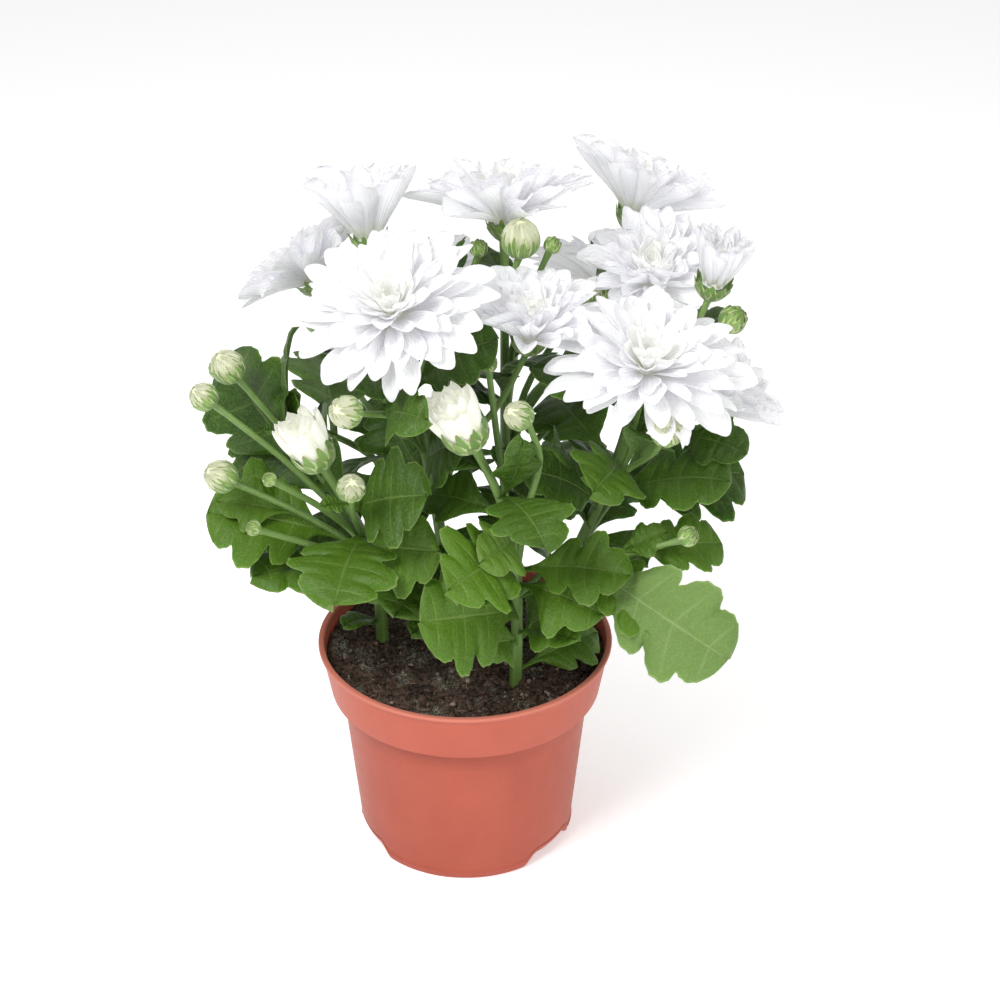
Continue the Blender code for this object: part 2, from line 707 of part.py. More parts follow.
def calyx_piece(name):
    """The green cup under a bloom or bud, or the whole of a small green bud."""
    head = HEADS[name]
    place = head_matrix(head)
    kind, size = head[0], head[6]
    if kind == "bloom":
        outline = [(0, -2.5), (4.6, 0), (CALYX_R, CALYX_HEIGHT), (0, CALYX_HEIGHT)]
        return turned_piece(name, outline, 8, place)
    if kind == "half":
        outline = [(0, -2), (0.28 * size, 1.2), (0.34 * size, 5), (0, 5)]
        return turned_piece(name, outline, 8, place)
    if kind == "bud":
        outline = [(0, -1.5), (0.9 * size, 0.35 * size), (0.97 * size, 0.8 * size), (0, 0.8 * size)]
        return turned_piece(name, outline, 7, place)
    outline = [(0, -1), (0.85 * size, 0.2 * size), (0.95 * size, 1.1 * size), (0, 1.9 * size)]
    return turned_piece(name, outline, 6, place)


def petal_line(elevation_deg, bend_deg, length, t):
    """Distance out and height of a petal's midline at t, and its slope there, for a petal that starts
    steeper than its mean elevation and bends outwards by bend."""
    steps = 8
    out = height = 0.0
    slope = math.radians(elevation_deg + bend_deg / 2)
    for i in range(steps):
        share = (i + 0.5) / steps * t
        slope = math.radians(elevation_deg + bend_deg * (0.5 - share))
        out += math.cos(slope) * length * t / steps
        height += math.sin(slope) * length * t / steps
    return out, height, slope


def petal_piece(place, turn, root_r, root_z, elevation, bend, length, width):
    """One petal, three-sided: a narrow root sunk in the core, the broad part, and a blunt tip."""
    points = []
    spin = Matrix.Rotation(turn, 3, "Z")
    for t, share in ((0.0, PETAL_ROOT_SHARE), (0.62, 1.0)):
        out, height, slope = petal_line(elevation, bend, length, t)
        centre = Vector((root_r + out, 0, root_z + height))
        over = Vector((-math.sin(slope), 0, math.cos(slope)))
        half = Vector((0, width * share / 2, 0))
        points += [centre - half, centre - over * PETAL_THICK, centre + half]
    out, height, slope = petal_line(elevation, bend, length, 1.0)
    tip = Vector((root_r + out, 0, root_z + height))
    points += [tip - Vector((0, 0.2 * width, 0)), tip + Vector((0, 0.2 * width, 0))]
    faces = ring_faces(2, 3, False) + [(2, 1, 0), (3, 4, 6), (4, 7, 6), (4, 5, 7), (5, 3, 6), (5, 6, 7)]
    return new_object("petal", [place @ (spin @ p) for p in points], faces)


def bloom_rings(size, openness):
    """The rings of petals: (ring, count, elevation, bend, length, width, root radius, root height)."""
    rings = []
    outer = 74 - 72 * openness
    for k in range(RING_COUNT):
        u = k / (RING_COUNT - 1)
        elevation = outer + (84 - outer) * u**0.85
        bend = 34 * (1 - u) - 22 * u
        length = size * (1 - (1 - EYE_PETAL_SHARE) * u**1.15)
        width = PETAL_WIDTH * size * (1 - 0.42 * u)
        root_r = 5.0 - 3.0 * u
        out, _, _ = petal_line(elevation, bend, length, 0.62)
        count = min(MOST_PETALS, int(math.tau * (root_r + out) / (1.08 * width)))
        rings.append((k, count, elevation, bend, length, width, root_r, 1.0 + 6.0 * u))
    return rings


def build_bloom(name, material):
    """A bloom: a small core with rings of petals standing out of it."""
    head = HEADS[name]
    place = head_matrix(head)
    size, openness = head[6], head[7]
    low = CALYX_HEIGHT + GAP
    outline = [(0, low), (CORE_R, low), (CORE_R, low + 2.5), (0.45 * CORE_R, low + 8), (0, low + 9)]
    core = turned_piece(name, outline, 8, place, material)
    draw = random.Random(name)
    petals = []
    wanted = BIG_RINGS if size > BIG_BLOOM else SMALL_RINGS
    for k, count, elevation, bend, length, width, root_r, root_z in bloom_rings(size, openness):
        phase = draw.random() * math.tau
        for i in range(count):
            tilt, grow = draw.uniform(-3, 3), draw.uniform(0.93, 1.05)
            swing = draw.uniform(-0.03, 0.03)
            if k not in wanted:
                continue
            turn = phase + math.tau * i / count + swing
            place_in = (place, turn, root_r - 1, low + root_z)
            petals.append(petal_piece(*place_in, elevation + tilt, bend, length * grow + 1, width))
    return join_pieces(core, petals)


def build_bud(name, material):
    """The pale part of a bud: a closed dome, or in a half-open bud a tuft of upright petals."""
    head = HEADS[name]
    place = head_matrix(head)
    kind, size = head[0], head[6]
    if kind == "bud":
        low = 0.8 * size + GAP
        outline = [(0, low), (0.93 * size, low), (0.9 * size, 1.25 * size), (0.55 * size, 1.75 * size)]
        outline.append((0, 1.95 * size))
        return turned_piece(name, outline, 7, place, material)
    low = 5 + GAP
    radius = 0.34 * size
    outline = [(0, low), (radius * 0.9, low), (radius * 1.05, 0.55 * size), (0.5 * radius, 0.85 * size)]
    outline.append((0, 0.85 * size))
    core = turned_piece(name, outline, 8, place, material)
    petals = []
    for i in range(HALF_BUD_PETALS):
        turn = math.tau * i / HALF_BUD_PETALS
        petals.append(petal_piece(place, turn, radius * 0.6, low + 3, 82, 10, 0.85 * size - 3, 0.36 * size))
    return join_pieces(core, petals)


def main():
    """Builds every piece of the plant in its pot."""
    clear_scene()
    terracotta = make_material("terracotta_plastic", (0.60, 0.16, 0.10), 0.45)
    peat = make_material("peat", (0.030, 0.020, 0.014), 0.95)
    green = make_material("leaf_green", (0.075, 0.19, 0.03), 0.55)
    white = make_material("petal_white", (0.86, 0.86, 0.88), 0.5)
    cream = make_material("bud_cream", (0.80, 0.82, 0.55), 0.5)
    build_pot(terracotta)
    build_soil(peat)
    for stem, leaves in all_leaves().items():
        pieces = stem_pieces(stem) + [leaf_piece(leaf) for leaf in leaves]
        pieces += [calyx_piece(name) for name, head in HEADS.items() if head[1] == stem]
        base = pieces[0]
        base.name = "leafy_stem_" + stem
        base.data.materials.append(green)
        join_pieces(base, pieces[1:])
    for name, head in HEADS.items():
        if head[0] == "bloom":
            build_bloom(name, white)
        elif head[0] != "green":
            build_bud(name, cream)


if __name__ == "__main__":
    main()
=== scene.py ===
"""Pot chrysanthemum: the finished look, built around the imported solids.

The plant's layout repeats the solids': the same heads, shoots and leaves, in millimetres, which MM turns into
metres where a mesh is made. The origin is on the pot's axis at the floor, +Z is up and -Y is the front.
"""

import logging
import math
import random
from collections.abc import Callable, Iterable, Iterator
from dataclasses import dataclass, field
from enum import Enum
from typing import NamedTuple

import bpy
import numpy as np
from mathutils import Euler, Matrix, Vector, noise
from mathutils.kdtree import KDTree

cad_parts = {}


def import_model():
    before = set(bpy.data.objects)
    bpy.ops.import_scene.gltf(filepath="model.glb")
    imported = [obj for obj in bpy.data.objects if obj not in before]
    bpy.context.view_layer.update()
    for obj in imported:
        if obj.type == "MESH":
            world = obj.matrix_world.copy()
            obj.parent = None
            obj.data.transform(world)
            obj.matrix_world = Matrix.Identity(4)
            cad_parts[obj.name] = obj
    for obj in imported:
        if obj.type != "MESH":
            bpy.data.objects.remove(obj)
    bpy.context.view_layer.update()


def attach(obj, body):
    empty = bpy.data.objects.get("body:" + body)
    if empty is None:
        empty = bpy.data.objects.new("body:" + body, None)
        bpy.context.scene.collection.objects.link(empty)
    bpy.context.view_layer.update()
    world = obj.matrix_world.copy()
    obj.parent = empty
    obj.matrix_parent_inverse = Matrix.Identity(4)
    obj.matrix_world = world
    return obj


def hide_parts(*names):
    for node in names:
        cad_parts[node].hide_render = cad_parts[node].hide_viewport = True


log = logging.getLogger("chrysanthemum")

MM = 0.001
UP = Vector((0, 0, 1))
PARALLEL = 1e-4  # a cross product shorter than this is of two parallel directions
BODY = "root"
TAU = math.tau
# Edges sharper than this stay sharp.
SHARP_DEG = 75.0

Colour = tuple[float, float, float]
Point = tuple[float, float, float]
Outline = list[tuple[float, float]]


class Kind(Enum):
    """What stands at the end of a shoot."""

    BLOOM = "bloom"
    HALF = "half"
    BUD = "bud"
    GREEN = "green"


class Head(NamedTuple):
    """A bloom or bud: where its shoot forks off, where it ends, how it faces, and its size."""

    stem: str
    kind: Kind
    fork: float
    end: Point
    lean: float
    heading: float
    size: float
    openness: float = 0.0


class LeafRow(NamedTuple):
    """A leaf seen from the front: its shoot, how far up it sits, its tip, and its blade's form."""

    shoot: str
    share: float
    tip: Point
    width: float
    arch: float
    roll: float


class Leaf(NamedTuple):
    """A leaf in its place."""

    base: Vector
    tip: Vector
    width: float
    arch: float
    roll: float


# Where each stem leaves the soil, and the stems' thickness.
STEM_ROOTS: dict[str, tuple[float, float]] = {
    "left": (-34, 5),
    "front": (20, -28),
    "centre": (-5, -8),
    "right": (36, 6),
    "back_left": (-21, 31),
    "back_right": (17, 35),
}
STEM_R = 2.7
SHOOT_R = 1.15
STEM_RIBS = 5
MAIN_STATIONS = 7
SHOOT_STATIONS = 4
STEM_DEPTH = 20.0
SOIL_Z = 86.0
SOIL_LUMP = 1.8
GAP = 0.3

# Each stem's heads, the one that ends its main stem first: kind, fork, end of its shoot, lean and heading in
# degrees, size and, for a bloom, openness.
HEAD_ROWS: dict[str, dict[str, tuple]] = {
    "left": {
        "bud_01": (Kind.HALF, 0.0, (-53, -40, 194), 27, -147, 22.0),
        "bud_02": (Kind.BUD, 0.55, (-41, -57, 191), 37, -80, 5.0),
        "bud_03": (Kind.BUD, 0.40, (-87, -33, 182), 53, -158, 6.0),
        "bud_04": (Kind.BUD, 0.45, (-85, -18, 219), 33, -158, 6.2),
        "bud_05": (Kind.BUD, 0.50, (-93, -30, 214), 45, -164, 5.0),
        "green_01": (Kind.GREEN, 0.50, (-70, -50, 192), 50, -135, 2.3),
        "green_02": (Kind.GREEN, 0.35, (-77, -45, 168), 55, -150, 2.6),
    },
    "front": {
        "bud_06": (Kind.HALF, 0.0, (4, -48, 207), 28, -148, 24.0),
        "bud_07": (Kind.BUD, 0.50, (24, -52, 219), 52, -140, 5.2),
        "green_03": (Kind.GREEN, 0.40, (83, -44, 163), 49, -23, 3.7),
        "green_04": (Kind.GREEN, 0.60, (10, -25, 226), 20, -100, 3.1),
    },
    "centre": {
        "bloom_01": (Kind.BLOOM, 0.0, (-24, -31, 247), 27, -103, 34.0, 0.95),
        "bud_08": (Kind.BUD, 0.62, (-38, -66, 229), 60, -126, 5.8),
        "bloom_02": (Kind.BLOOM, 0.45, (25, -10, 227), 9, -72, 28.0, 0.50),
        "bud_09": (Kind.BUD, 0.60, (22, 14, 255), 6, -90, 7.2),
        "green_05": (Kind.GREEN, 0.62, (-25, -30, 205), 30, -60, 2.3),
    },
    "right": {
        "bloom_03": (Kind.BLOOM, 0.0, (68, -29, 222), 18, -75, 35.0, 0.97),
        "bud_10": (Kind.BUD, 0.60, (75, -52, 212), 37, -90, 5.8),
        "bloom_04": (Kind.BLOOM, 0.35, (92, 0, 195), 44, -12, 25.0, 0.36),
        "bloom_05": (Kind.BLOOM, 0.50, (94, 4, 243), 12, -14, 21.0, 0.06),
        "green_06": (Kind.GREEN, 0.55, (100, -1, 232), 40, -38, 5.2),
        "bloom_06": (Kind.BLOOM, 0.55, (74, 37, 229), 24, -97, 29.0, 0.60),
    },
    "back_left": {
        "bloom_07": (Kind.BLOOM, 0.0, (-36, 30, 250), 9, 140, 31.0, 0.26),
        "bloom_08": (Kind.BLOOM, 0.45, (-56, 40, 228), 42, 158, 28.0, 0.72),
        "bloom_09": (Kind.BLOOM, 0.50, (-12, 78, 205), 38, 104, 32.0, 0.90),
        "bud_11": (Kind.BUD, 0.40, (-60, 80, 190), 40, 125, 5.2),
        "green_07": (Kind.GREEN, 0.60, (6, 25, 250), 15, -90, 3.2),
        "green_08": (Kind.GREEN, 0.35, (-95, 30, 195), 45, 165, 4.0),
    },
    "back_right": {
        "bloom_10": (Kind.BLOOM, 0.0, (16, 34, 254), 14, 90, 35.0, 0.70),
        "bloom_11": (Kind.BLOOM, 0.50, (66, 62, 246), 21, 34, 34.0, 0.52),
        "bloom_12": (Kind.BLOOM, 0.50, (58, 84, 202), 38, 72, 32.0, 0.90),
        "bud_12": (Kind.BUD, 0.50, (22, 104, 186), 38, 88, 5.6),
        "bud_13": (Kind.BUD, 0.45, (49, 30, 226), 5, 0, 4.6),
        "green_09": (Kind.GREEN, 0.40, (95, 60, 195), 45, 30, 4.0),
        "green_10": (Kind.GREEN, 0.60, (33, 15, 256), 25, -20, 3.0),
    },
}
HEADS = {name: Head(stem, *row) for stem, rows in HEAD_ROWS.items() for name, row in rows.items()}

# Leaves seen in the front: shoot, share of it, tip, width, arch and roll.
LEAVES = [LeafRow(*row) for row in (
    ("bud_01", 0.65, (-48, -66, 142), 0.93, 0.14, 20),
    ("bud_01", 0.60, (-17, -56, 156), 0.83, 0.10, 35),
    ("bud_01", 0.45, (-81, -41, 145), 0.62, 0.08, 20),
    ("bud_01", 0.52, (-82, 6, 123), 0.62, 0.12, 20),
    ("bud_03", 0.35, (-99, -12, 157), 0.85, 0.10, 30),
    ("bud_03", 0.60, (-95, -30, 168), 0.65, 0.05, 20),
    ("bud_04", 0.35, (-97, -5, 185), 0.83, 0.12, 30),
    ("bud_04", 0.50, (-94, -2, 205), 0.80, 0.10, 40),
    ("bud_04", 0.30, (-88, -14, 186), 0.65, 0.10, 20),
    ("bud_02", 0.45, (-55, 8, 183), 0.83, 0.10, 45),
    ("bud_01", 0.80, (-13, -53, 188), 0.90, 0.10, 20),
    ("bloom_01", 0.58, (2, -41, 198), 0.70, 0.10, 30),
    ("bud_08", 0.70, (-12, -72, 230), 0.80, 0.12, 20),
    ("bud_05", 0.55, (-66, 0, 226), 0.65, 0.06, 40),
    ("green_08", 0.50, (-56, 14, 214), 0.80, 0.06, 60),
    ("bud_05", 0.80, (-63, -18, 217), 0.62, 0.10, 20),
    ("bud_01", 0.85, (-77, -7, 177), 0.65, 0.08, 20),
    ("bud_01", 0.76, (-72, -51, 182), 0.62, 0.10, 20),
    ("bud_01", 0.70, (-59, -47, 168), 0.62, 0.10, 20),
    ("bud_02", 0.80, (-52, -58, 192), 0.62, 0.05, 20),
    ("bud_02", 0.70, (-24, -16, 177), 0.62, 0.10, 30),
    ("bud_06", 0.35, (-16, -61, 137), 0.88, 0.10, 30),
    ("bloom_01", 0.35, (-29, -49, 141), 0.85, 0.10, 20),
    ("bud_06", 0.60, (-5, -72, 158), 0.90, 0.12, 20),
    ("bud_01", 0.18, (-49, -9, 102), 0.80, 0.10, 20),
    ("bloom_01", 0.20, (-21, -27, 109), 0.65, 0.10, 20),
    ("bloom_03", 0.72, (24, 34, 188), 0.62, 0.10, 60),
    ("bloom_03", 0.66, (46, -31, 184), 0.80, 0.15, 20),
    ("bloom_03", 0.55, (22, -25, 183), 0.62, 0.15, 20),
    ("bud_06", 0.62, (7, -62, 170), 0.88, 0.15, 20),
    ("bud_06", 0.50, (64, -54, 153), 0.62, 0.12, 20),
    ("bloom_03", 0.60, (96, -38, 187), 0.65, 0.08, 30),
    ("bloom_04", 0.40, (112, 12, 161), 0.80, 0.12, 30),
    ("bloom_04", 0.80, (109, -15, 196), 0.90, 0.12, 30),
    ("green_03", 0.50, (106, -58, 126), 0.62, 0.08, 50),
    ("green_03", 0.70, (101, -24, 150), 0.62, 0.05, 10),
    ("green_03", 0.40, (90, -47, 141), 0.70, 0.10, 10),
    ("bloom_03", 0.40, (72, -27, 154), 0.70, 0.12, 20),
    ("green_03", 0.65, (90, -39, 142), 0.62, 0.10, 20),
    ("bud_06", 0.45, (43, -63, 134), 0.90, 0.20, 30),
    ("bloom_03", 0.20, (69, -28, 118), 0.62, 0.10, 20),
    ("bud_06", 0.27, (44, -52, 123), 0.62, 0.12, 20),
    ("bud_06", 0.15, (54, -6, 97), 0.62, 0.12, 10),
    ("bud_06", 0.40, (7, -8, 121), 0.80, 0.10, 20),
    ("bud_06", 0.25, (8, -47, 123), 0.90, 0.10, 20),
    ("bud_06", 0.80, (23, -50, 209), 0.65, 0.08, 40),
    ("bud_07", 0.75, (37, -23, 189), 0.65, 0.12, 20),
    ("bud_06", 0.88, (9, -16, 195), 0.65, 0.08, 20),
    ("bud_10", 0.40, (72, -43, 207), 0.65, 0.10, 20),
    ("green_09", 0.75, (108, 52, 200), 0.80, 0.10, 20),
    ("green_09", 0.60, (106, 40, 186), 0.70, 0.10, 20),
    ("bloom_11", 0.75, (50, 41, 265), 0.65, 0.06, 60),
    ("bloom_07", 0.85, (-14, 56, 244), 0.80, 0.10, 40),
    ("green_07", 0.60, (0, 26, 256), 0.65, 0.06, 40),
    ("bloom_07", 0.88, (-58, 36, 248), 0.65, 0.10, 30),
    ("bloom_10", 0.62, (2, -8, 209), 0.70, 0.10, 30),
    ("bloom_10", 0.70, (37, -10, 211), 0.65, 0.10, 30),
)]

# The other leaves grow by a rule: up each main stem, a turn apart, the longest that finds room.
LEAF_TURN_DEG = 137.5
LEAF_SHARES = (0.24, 0.32, 0.40, 0.48, 0.56, 0.64, 0.72, 0.80, 0.88)
LEAF_LENGTHS = (44.0, 40.0, 35.0, 28.0)
LEAF_LEANS = (62.0, 74.0, 50.0, 40.0, 86.0)
LEAF_SWINGS = (0, 25, -25)
LEAF_WIDTH = 0.74
LEAF_ARCH = 0.12
STEM_HEADING_DEG = 50.0
# How a listed leaf is bent, turned and made smaller until it is clear.
LISTED_SIZES = (1.0, 0.88, 0.76, 0.64)
LISTED_TURNS = (0, 12, -12, 24, -24)
LISTED_LIFTS = (0, 6, -6, 12, -12, 18)
# The least distance between sampled points: to other nodes, for rule leaves and listed leaves, and to
# the stem's own leaves.
LEAF_ROOM = 3.8
LISTED_ROOM = 3.2
OWN_ROOM = 2.0
SAMPLE_SHARES = (0.26, 0.34, 0.42, 0.50, 0.58, 0.66, 0.74, 0.82, 0.90, 1.0)
SAMPLE_ACROSS = (-1.0, -0.67, -0.33, 0.0, 0.33, 0.67, 1.0)
STEM_SAMPLES = 60
FIRST_STEM_SAMPLE = 8
# Up to this length a leaf has the small blade's outline; both kinds fold up along the midrib and face outwards.
SMALL_LEAF = 40.5
LEAF_FOLD = 0.22
LEAF_OUTWARD = 0.6
# How far a curve's handles reach, as shares of its length: from the soil, from a fork, and to each one's head.
ROOT_PULL = 0.45
MAIN_PULL = 0.40
FORK_PULL = 0.35
FORK_STEP = 0.05

# Blooms and their calyxes.
RING_COUNT = 8
LINE_STEPS = 8
EYE_ELEVATION = 84
FINE_EYE_ELEVATION = 82
CALYX_HEIGHT = 4.0
CALYX_R = 6.6
CORE_R = 6.0
FINE_EYE_SHARE = 0.30
FINE_PETAL_WIDTH = 0.285
PETAL_OVERLAP = 0.88
MOST_PETALS = 19
WIDEST_AT = 0.70
MID_PETAL = 0.62
INNER_FROM = 0.7
FLORETS = 30
EYE_R = 2.6
HEAD_SIDES = 16


@dataclass(frozen=True)
class PotSizes:
    """The pot's driving sizes, in millimetres."""

    top_r: float = 60.0
    height: float = 91.0
    base_r: float = 43.9
    shoulder_r: float = 50.8
    shoulder_z: float = 68.5
    collar_low_r: float = 55.4
    collar_top_r: float = 58.9
    lip: float = 1.8
    wall: float = 1.3
    pockets: int = 3
    pocket_centre: float = -36.0
    pocket_half: float = 21.0
    pocket_slope: float = 9.0
    pocket_lift: float = 4.6
    pocket_inner_r: float = 31.0
    drain_at_r: float = 37.0
    drain_r: float = 2.6


POT = PotSizes()
COLLAR_FLOOR = 2.2  # the step inside the collar, above the shoulder
INNER_POINTS = 9  # of the pot's outline, those down its inside


def smooth(x: float) -> float:
    """0 below 0, 1 above 1, and a soft step between."""
    x = min(1.0, max(0.0, x))
    return x * x * (3 - 2 * x)


def polar(lean: float, heading: float) -> Vector:
    """The unit vector that leans from upright, by degrees, towards a heading in degrees."""
    a, b = math.radians(lean), math.radians(heading)
    return Vector((math.sin(a) * math.cos(b), math.sin(a) * math.sin(b), math.cos(a)))


def frame_along(direction: Vector, hint: Vector = UP) -> tuple[Vector, Vector]:
    """Two unit vectors across a direction; the second is as near to hint as it can be.

    Args:
        direction: The direction.
        hint: Where the second vector should point.

    Returns:
        The vector to the side and the one over the direction.
    """
    along = direction.normalized()
    side = along.cross(hint)
    if side.length < PARALLEL:
        side = along.cross(Vector((0, 1, 0)))
    side.normalize()
    return side, side.cross(along)


def bezier(p0: Vector, p1: Vector, p2: Vector, p3: Vector, t: float) -> Vector:
    """A point on the cubic curve with these four control points."""
    u = 1 - t
    return p0 * u**3 + p1 * (3 * u * u * t) + p2 * (3 * u * t * t) + p3 * t**3


def first_head(stem: str) -> str:
    """The name of the head that ends a main stem."""
    return next(name for name, head in HEADS.items() if head.stem == stem)


def shoot_curve(name: str) -> Callable[[float], Vector]:
    """The curve of the stem or side shoot under a head, as a function of 0 to 1.

    Args:
        name: The head's name.

    Returns:
        A function that gives the point, in millimetres, a share of the way up.
    """
    head = HEADS[name]
    end, axis = Vector(head.end), polar(head.lean, head.heading)
    if head.fork == 0:
        x, y = STEM_ROOTS[head.stem]
        root = Vector((x, y, SOIL_Z - STEM_DEPTH))
        rise = (end - root).length
        return lambda t: bezier(root, root + UP * (ROOT_PULL * rise), end - axis * (MAIN_PULL * rise), end, t)
    fork = on_shoot(first_head(head.stem), head.fork)
    ahead = (on_shoot(first_head(head.stem), head.fork + FORK_STEP) - fork).normalized()
    reach = (end - fork).length
    return lambda t: bezier(fork, fork + ahead * (FORK_PULL * reach), end - axis * (FORK_PULL * reach), end, t)


def on_shoot(name: str, share: float) -> Vector:
    """The point a share of the way along a shoot, on the straight runs of its solid.

    Args:
        name: The name of the head that it carries.
        share: The share of the way up, from 0 to 1.

    Returns:
        The point, in millimetres.
    """
    runs = (MAIN_STATIONS if HEADS[name].fork == 0 else SHOOT_STATIONS) - 1
    curve = shoot_curve(name)
    step = min(int(share * runs), runs - 1)
    return curve(step / runs).lerp(curve((step + 1) / runs), share * runs - step)


def head_matrix(head: Head) -> Matrix:
    """The frame of a head: +Z along its axis, at the point where its shoot ends.

    Args:
        head: The head.

    Returns:
        The matrix from the head's own frame to the plant's, in millimetres.
    """
    axis = polar(head.lean, head.heading)
    side, over = frame_along(axis, Vector((0, 1, 0.01)))
    return Matrix.Translation(Vector(head.end)) @ Matrix((side, over, axis)).transposed().to_4x4()


def petal_line(elevation: float, bend: float, length: float, t: float) -> Point:
    """A petal's middle line at a share of its length.

    Args:
        elevation: Its mean slope, in degrees.
        bend: How many degrees it bends outwards from root to tip.
        length: Its length.
        t: The share of the length.

    Returns:
        The distance out from its root, the height over it, and the slope there in radians.
    """
    out = height = 0.0
    slope = math.radians(elevation + bend / 2)
    for i in range(LINE_STEPS):
        slope = math.radians(elevation + bend * (0.5 - (i + 0.5) / LINE_STEPS * t))
        out += math.cos(slope) * length * t / LINE_STEPS
        height += math.sin(slope) * length * t / LINE_STEPS
    return out, height, slope


def outer_elevation(openness: float) -> float:
    """The slope of a bloom's outermost petals, in degrees: nearly flat when it is fully open."""
    return 74 - 72 * openness


class LeafFrame:
    """A leaf's midrib, and the directions across it and out of its upper face."""

    def __init__(self, leaf: Leaf) -> None:
        """Works out the frame of a leaf.

        Args:
            leaf: The leaf.
        """
        self.leaf = leaf
        self.along = leaf.tip - leaf.base
        out = Vector((leaf.base.x + leaf.tip.x, leaf.base.y + leaf.tip.y, 0))
        out.normalize()
        side, over = frame_along(self.along, UP + LEAF_OUTWARD * out)
        spin = Matrix.Rotation(math.radians(leaf.roll if self.along.x > 0 else -leaf.roll), 3, self.along)
        self.side, self.over = spin @ side, spin @ over

    def midrib(self, s: float) -> Vector:
        """The midrib's point at a share of the length."""
        lift = 4 * self.leaf.arch * self.along.length * s * (1 - s)
        return self.leaf.base + self.along * s + self.over * lift

    def samples(self) -> list[Vector]:
        """Points spread over the blade, to tell how near another thing is."""
        half = self.leaf.width * self.along.length / 2
        found = []
        for s in SAMPLE_SHARES:
            reach = half * min(1.0, 4.5 * (1.02 - s))
            for across in SAMPLE_ACROSS:
                lift = LEAF_FOLD * abs(across) * reach
                found.append(self.midrib(s) + self.side * (across * reach) + self.over * lift)
        return found


def head_samples(head: Head) -> list[Vector]:
    """Points spread over a bloom or bud.

    Args:
        head: The bloom or bud.

    Returns:
        The points, in millimetres.
    """
    place = head_matrix(head)
    found = []
    for i in range(HEAD_SIDES):
        spin = Matrix.Rotation(TAU * i / HEAD_SIDES, 3, "Z")
        if head.kind is Kind.BLOOM:
            outer = outer_elevation(head.openness)
            for elevation in (outer, (outer + EYE_ELEVATION) / 2):
                for t in (0.2, 0.4, 0.6, 0.8, 1.0):
                    out, height, _ = petal_line(elevation, 30, head.size + 2, t)
                    found.append(place @ (spin @ Vector((3 + out, 0, 5 + height))))
        else:
            radius = 0.4 * head.size if head.kind is Kind.HALF else head.size
            top = head.size if head.kind is Kind.HALF else 1.8 * head.size
            found += [place @ (spin @ Vector((radius, 0, top * t))) for t in (0.1, 0.5, 0.9)]
    return found


@dataclass
class Room:
    """What stands where, by owner, to tell whether a leaf would touch it."""

    points: dict[str, list[Vector]] = field(default_factory=dict)
    trees: dict[str, KDTree] = field(default_factory=dict)

    def take(self, owner: str, points: list[Vector]) -> None:
        """Marks points as taken by an owner.

        Args:
            owner: The head or stem.
            points: The points, in millimetres.
        """
        taken = self.points.setdefault(owner, [])
        taken += points
        tree = KDTree(len(taken))
        for i, point in enumerate(taken):
            tree.insert(point, i)
        tree.balance()
        self.trees[owner] = tree

    def clear(self, owner: str, points: list[Vector], gap: float) -> bool:
        """Whether none of the points lies in the soil, nearer than gap to another owner, or too near its own.

        Args:
            owner: The stem that the points would belong to.
            points: The points, in millimetres.
            gap: The least distance to other owners and to the soil.

        Returns:
            Whether there is room.
        """
        if min(point.z for point in points) < SOIL_Z + gap:
            return False
        for other, tree in self.trees.items():
            least = OWN_ROOM if other == owner else gap
            if any(tree.find(point)[2] < least for point in points):
                return False
        return True

    def settle(self, owner: str, choices: Iterable[Leaf], gap: float) -> Leaf | None:
        """The first of several leaves that is clear, which then takes its place.

        Args:
            owner: The stem that carries it.
            choices: The leaves to try, in order.
            gap: The least distance to other owners.

        Returns:
            The leaf, or None where there is no room.
        """
        for leaf in choices:
            samples = LeafFrame(leaf).samples()
            if self.clear(owner, samples, gap):
                self.take(owner, samples)
                return leaf
        return None


def bent_leaves(leaf: Leaf) -> Iterator[Leaf]:
    """A leaf as listed, then bent and turned more and more, and at last smaller.

    Args:
        leaf: The leaf as it is listed.

    Returns:
        One leaf after another, each with the same base.
    """
    for size in LISTED_SIZES:
        for turn in LISTED_TURNS:
            for lift in LISTED_LIFTS:
                along = Matrix.Rotation(math.radians(turn), 3, "Z") @ (leaf.tip - leaf.base)
                yield leaf._replace(tip=leaf.base + size * along + UP * lift)


def rule_leaves(base: Vector, heading: float) -> Iterator[Leaf]:
    """Leaves that may grow from a point on a main stem, the longest first.

    Args:
        base: The point on the stem.
        heading: The direction that the leaf is to grow in, in degrees.

    Returns:
        One leaf after another.
    """
    for length in LEAF_LENGTHS:
        for swing in LEAF_SWINGS:
            for lean in LEAF_LEANS:
                yield Leaf(base, base + length * polar(lean, heading + swing), LEAF_WIDTH, LEAF_ARCH, 0)


def all_leaves() -> dict[str, list[Leaf]]:
    """Every leaf of the plant by stem: the listed ones, then those that the rule finds room for."""
    leaves: dict[str, list[Leaf]] = {stem: [] for stem in STEM_ROOTS}
    room = Room()
    for name, head in HEADS.items():
        curve = shoot_curve(name)
        room.take(name, head_samples(head))
        room.take(head.stem, [curve(i / STEM_SAMPLES) for i in range(FIRST_STEM_SAMPLE, STEM_SAMPLES + 1)])
    for row in LEAVES:
        stem = HEADS[row.shoot].stem
        listed = Leaf(on_shoot(row.shoot, row.share), Vector(row.tip), row.width, row.arch, row.roll)
        leaf = room.settle(stem, bent_leaves(listed), LISTED_ROOM)
        if leaf:
            leaves[stem].append(leaf)
    for number, stem in enumerate(STEM_ROOTS):
        for step, share in enumerate(LEAF_SHARES):
            base = on_shoot(first_head(stem), share)
            choices = rule_leaves(base, LEAF_TURN_DEG * step + STEM_HEADING_DEG * number)
            leaf = room.settle(stem, choices, LEAF_ROOM)
            if leaf:
                leaves[stem].append(leaf)
    return leaves


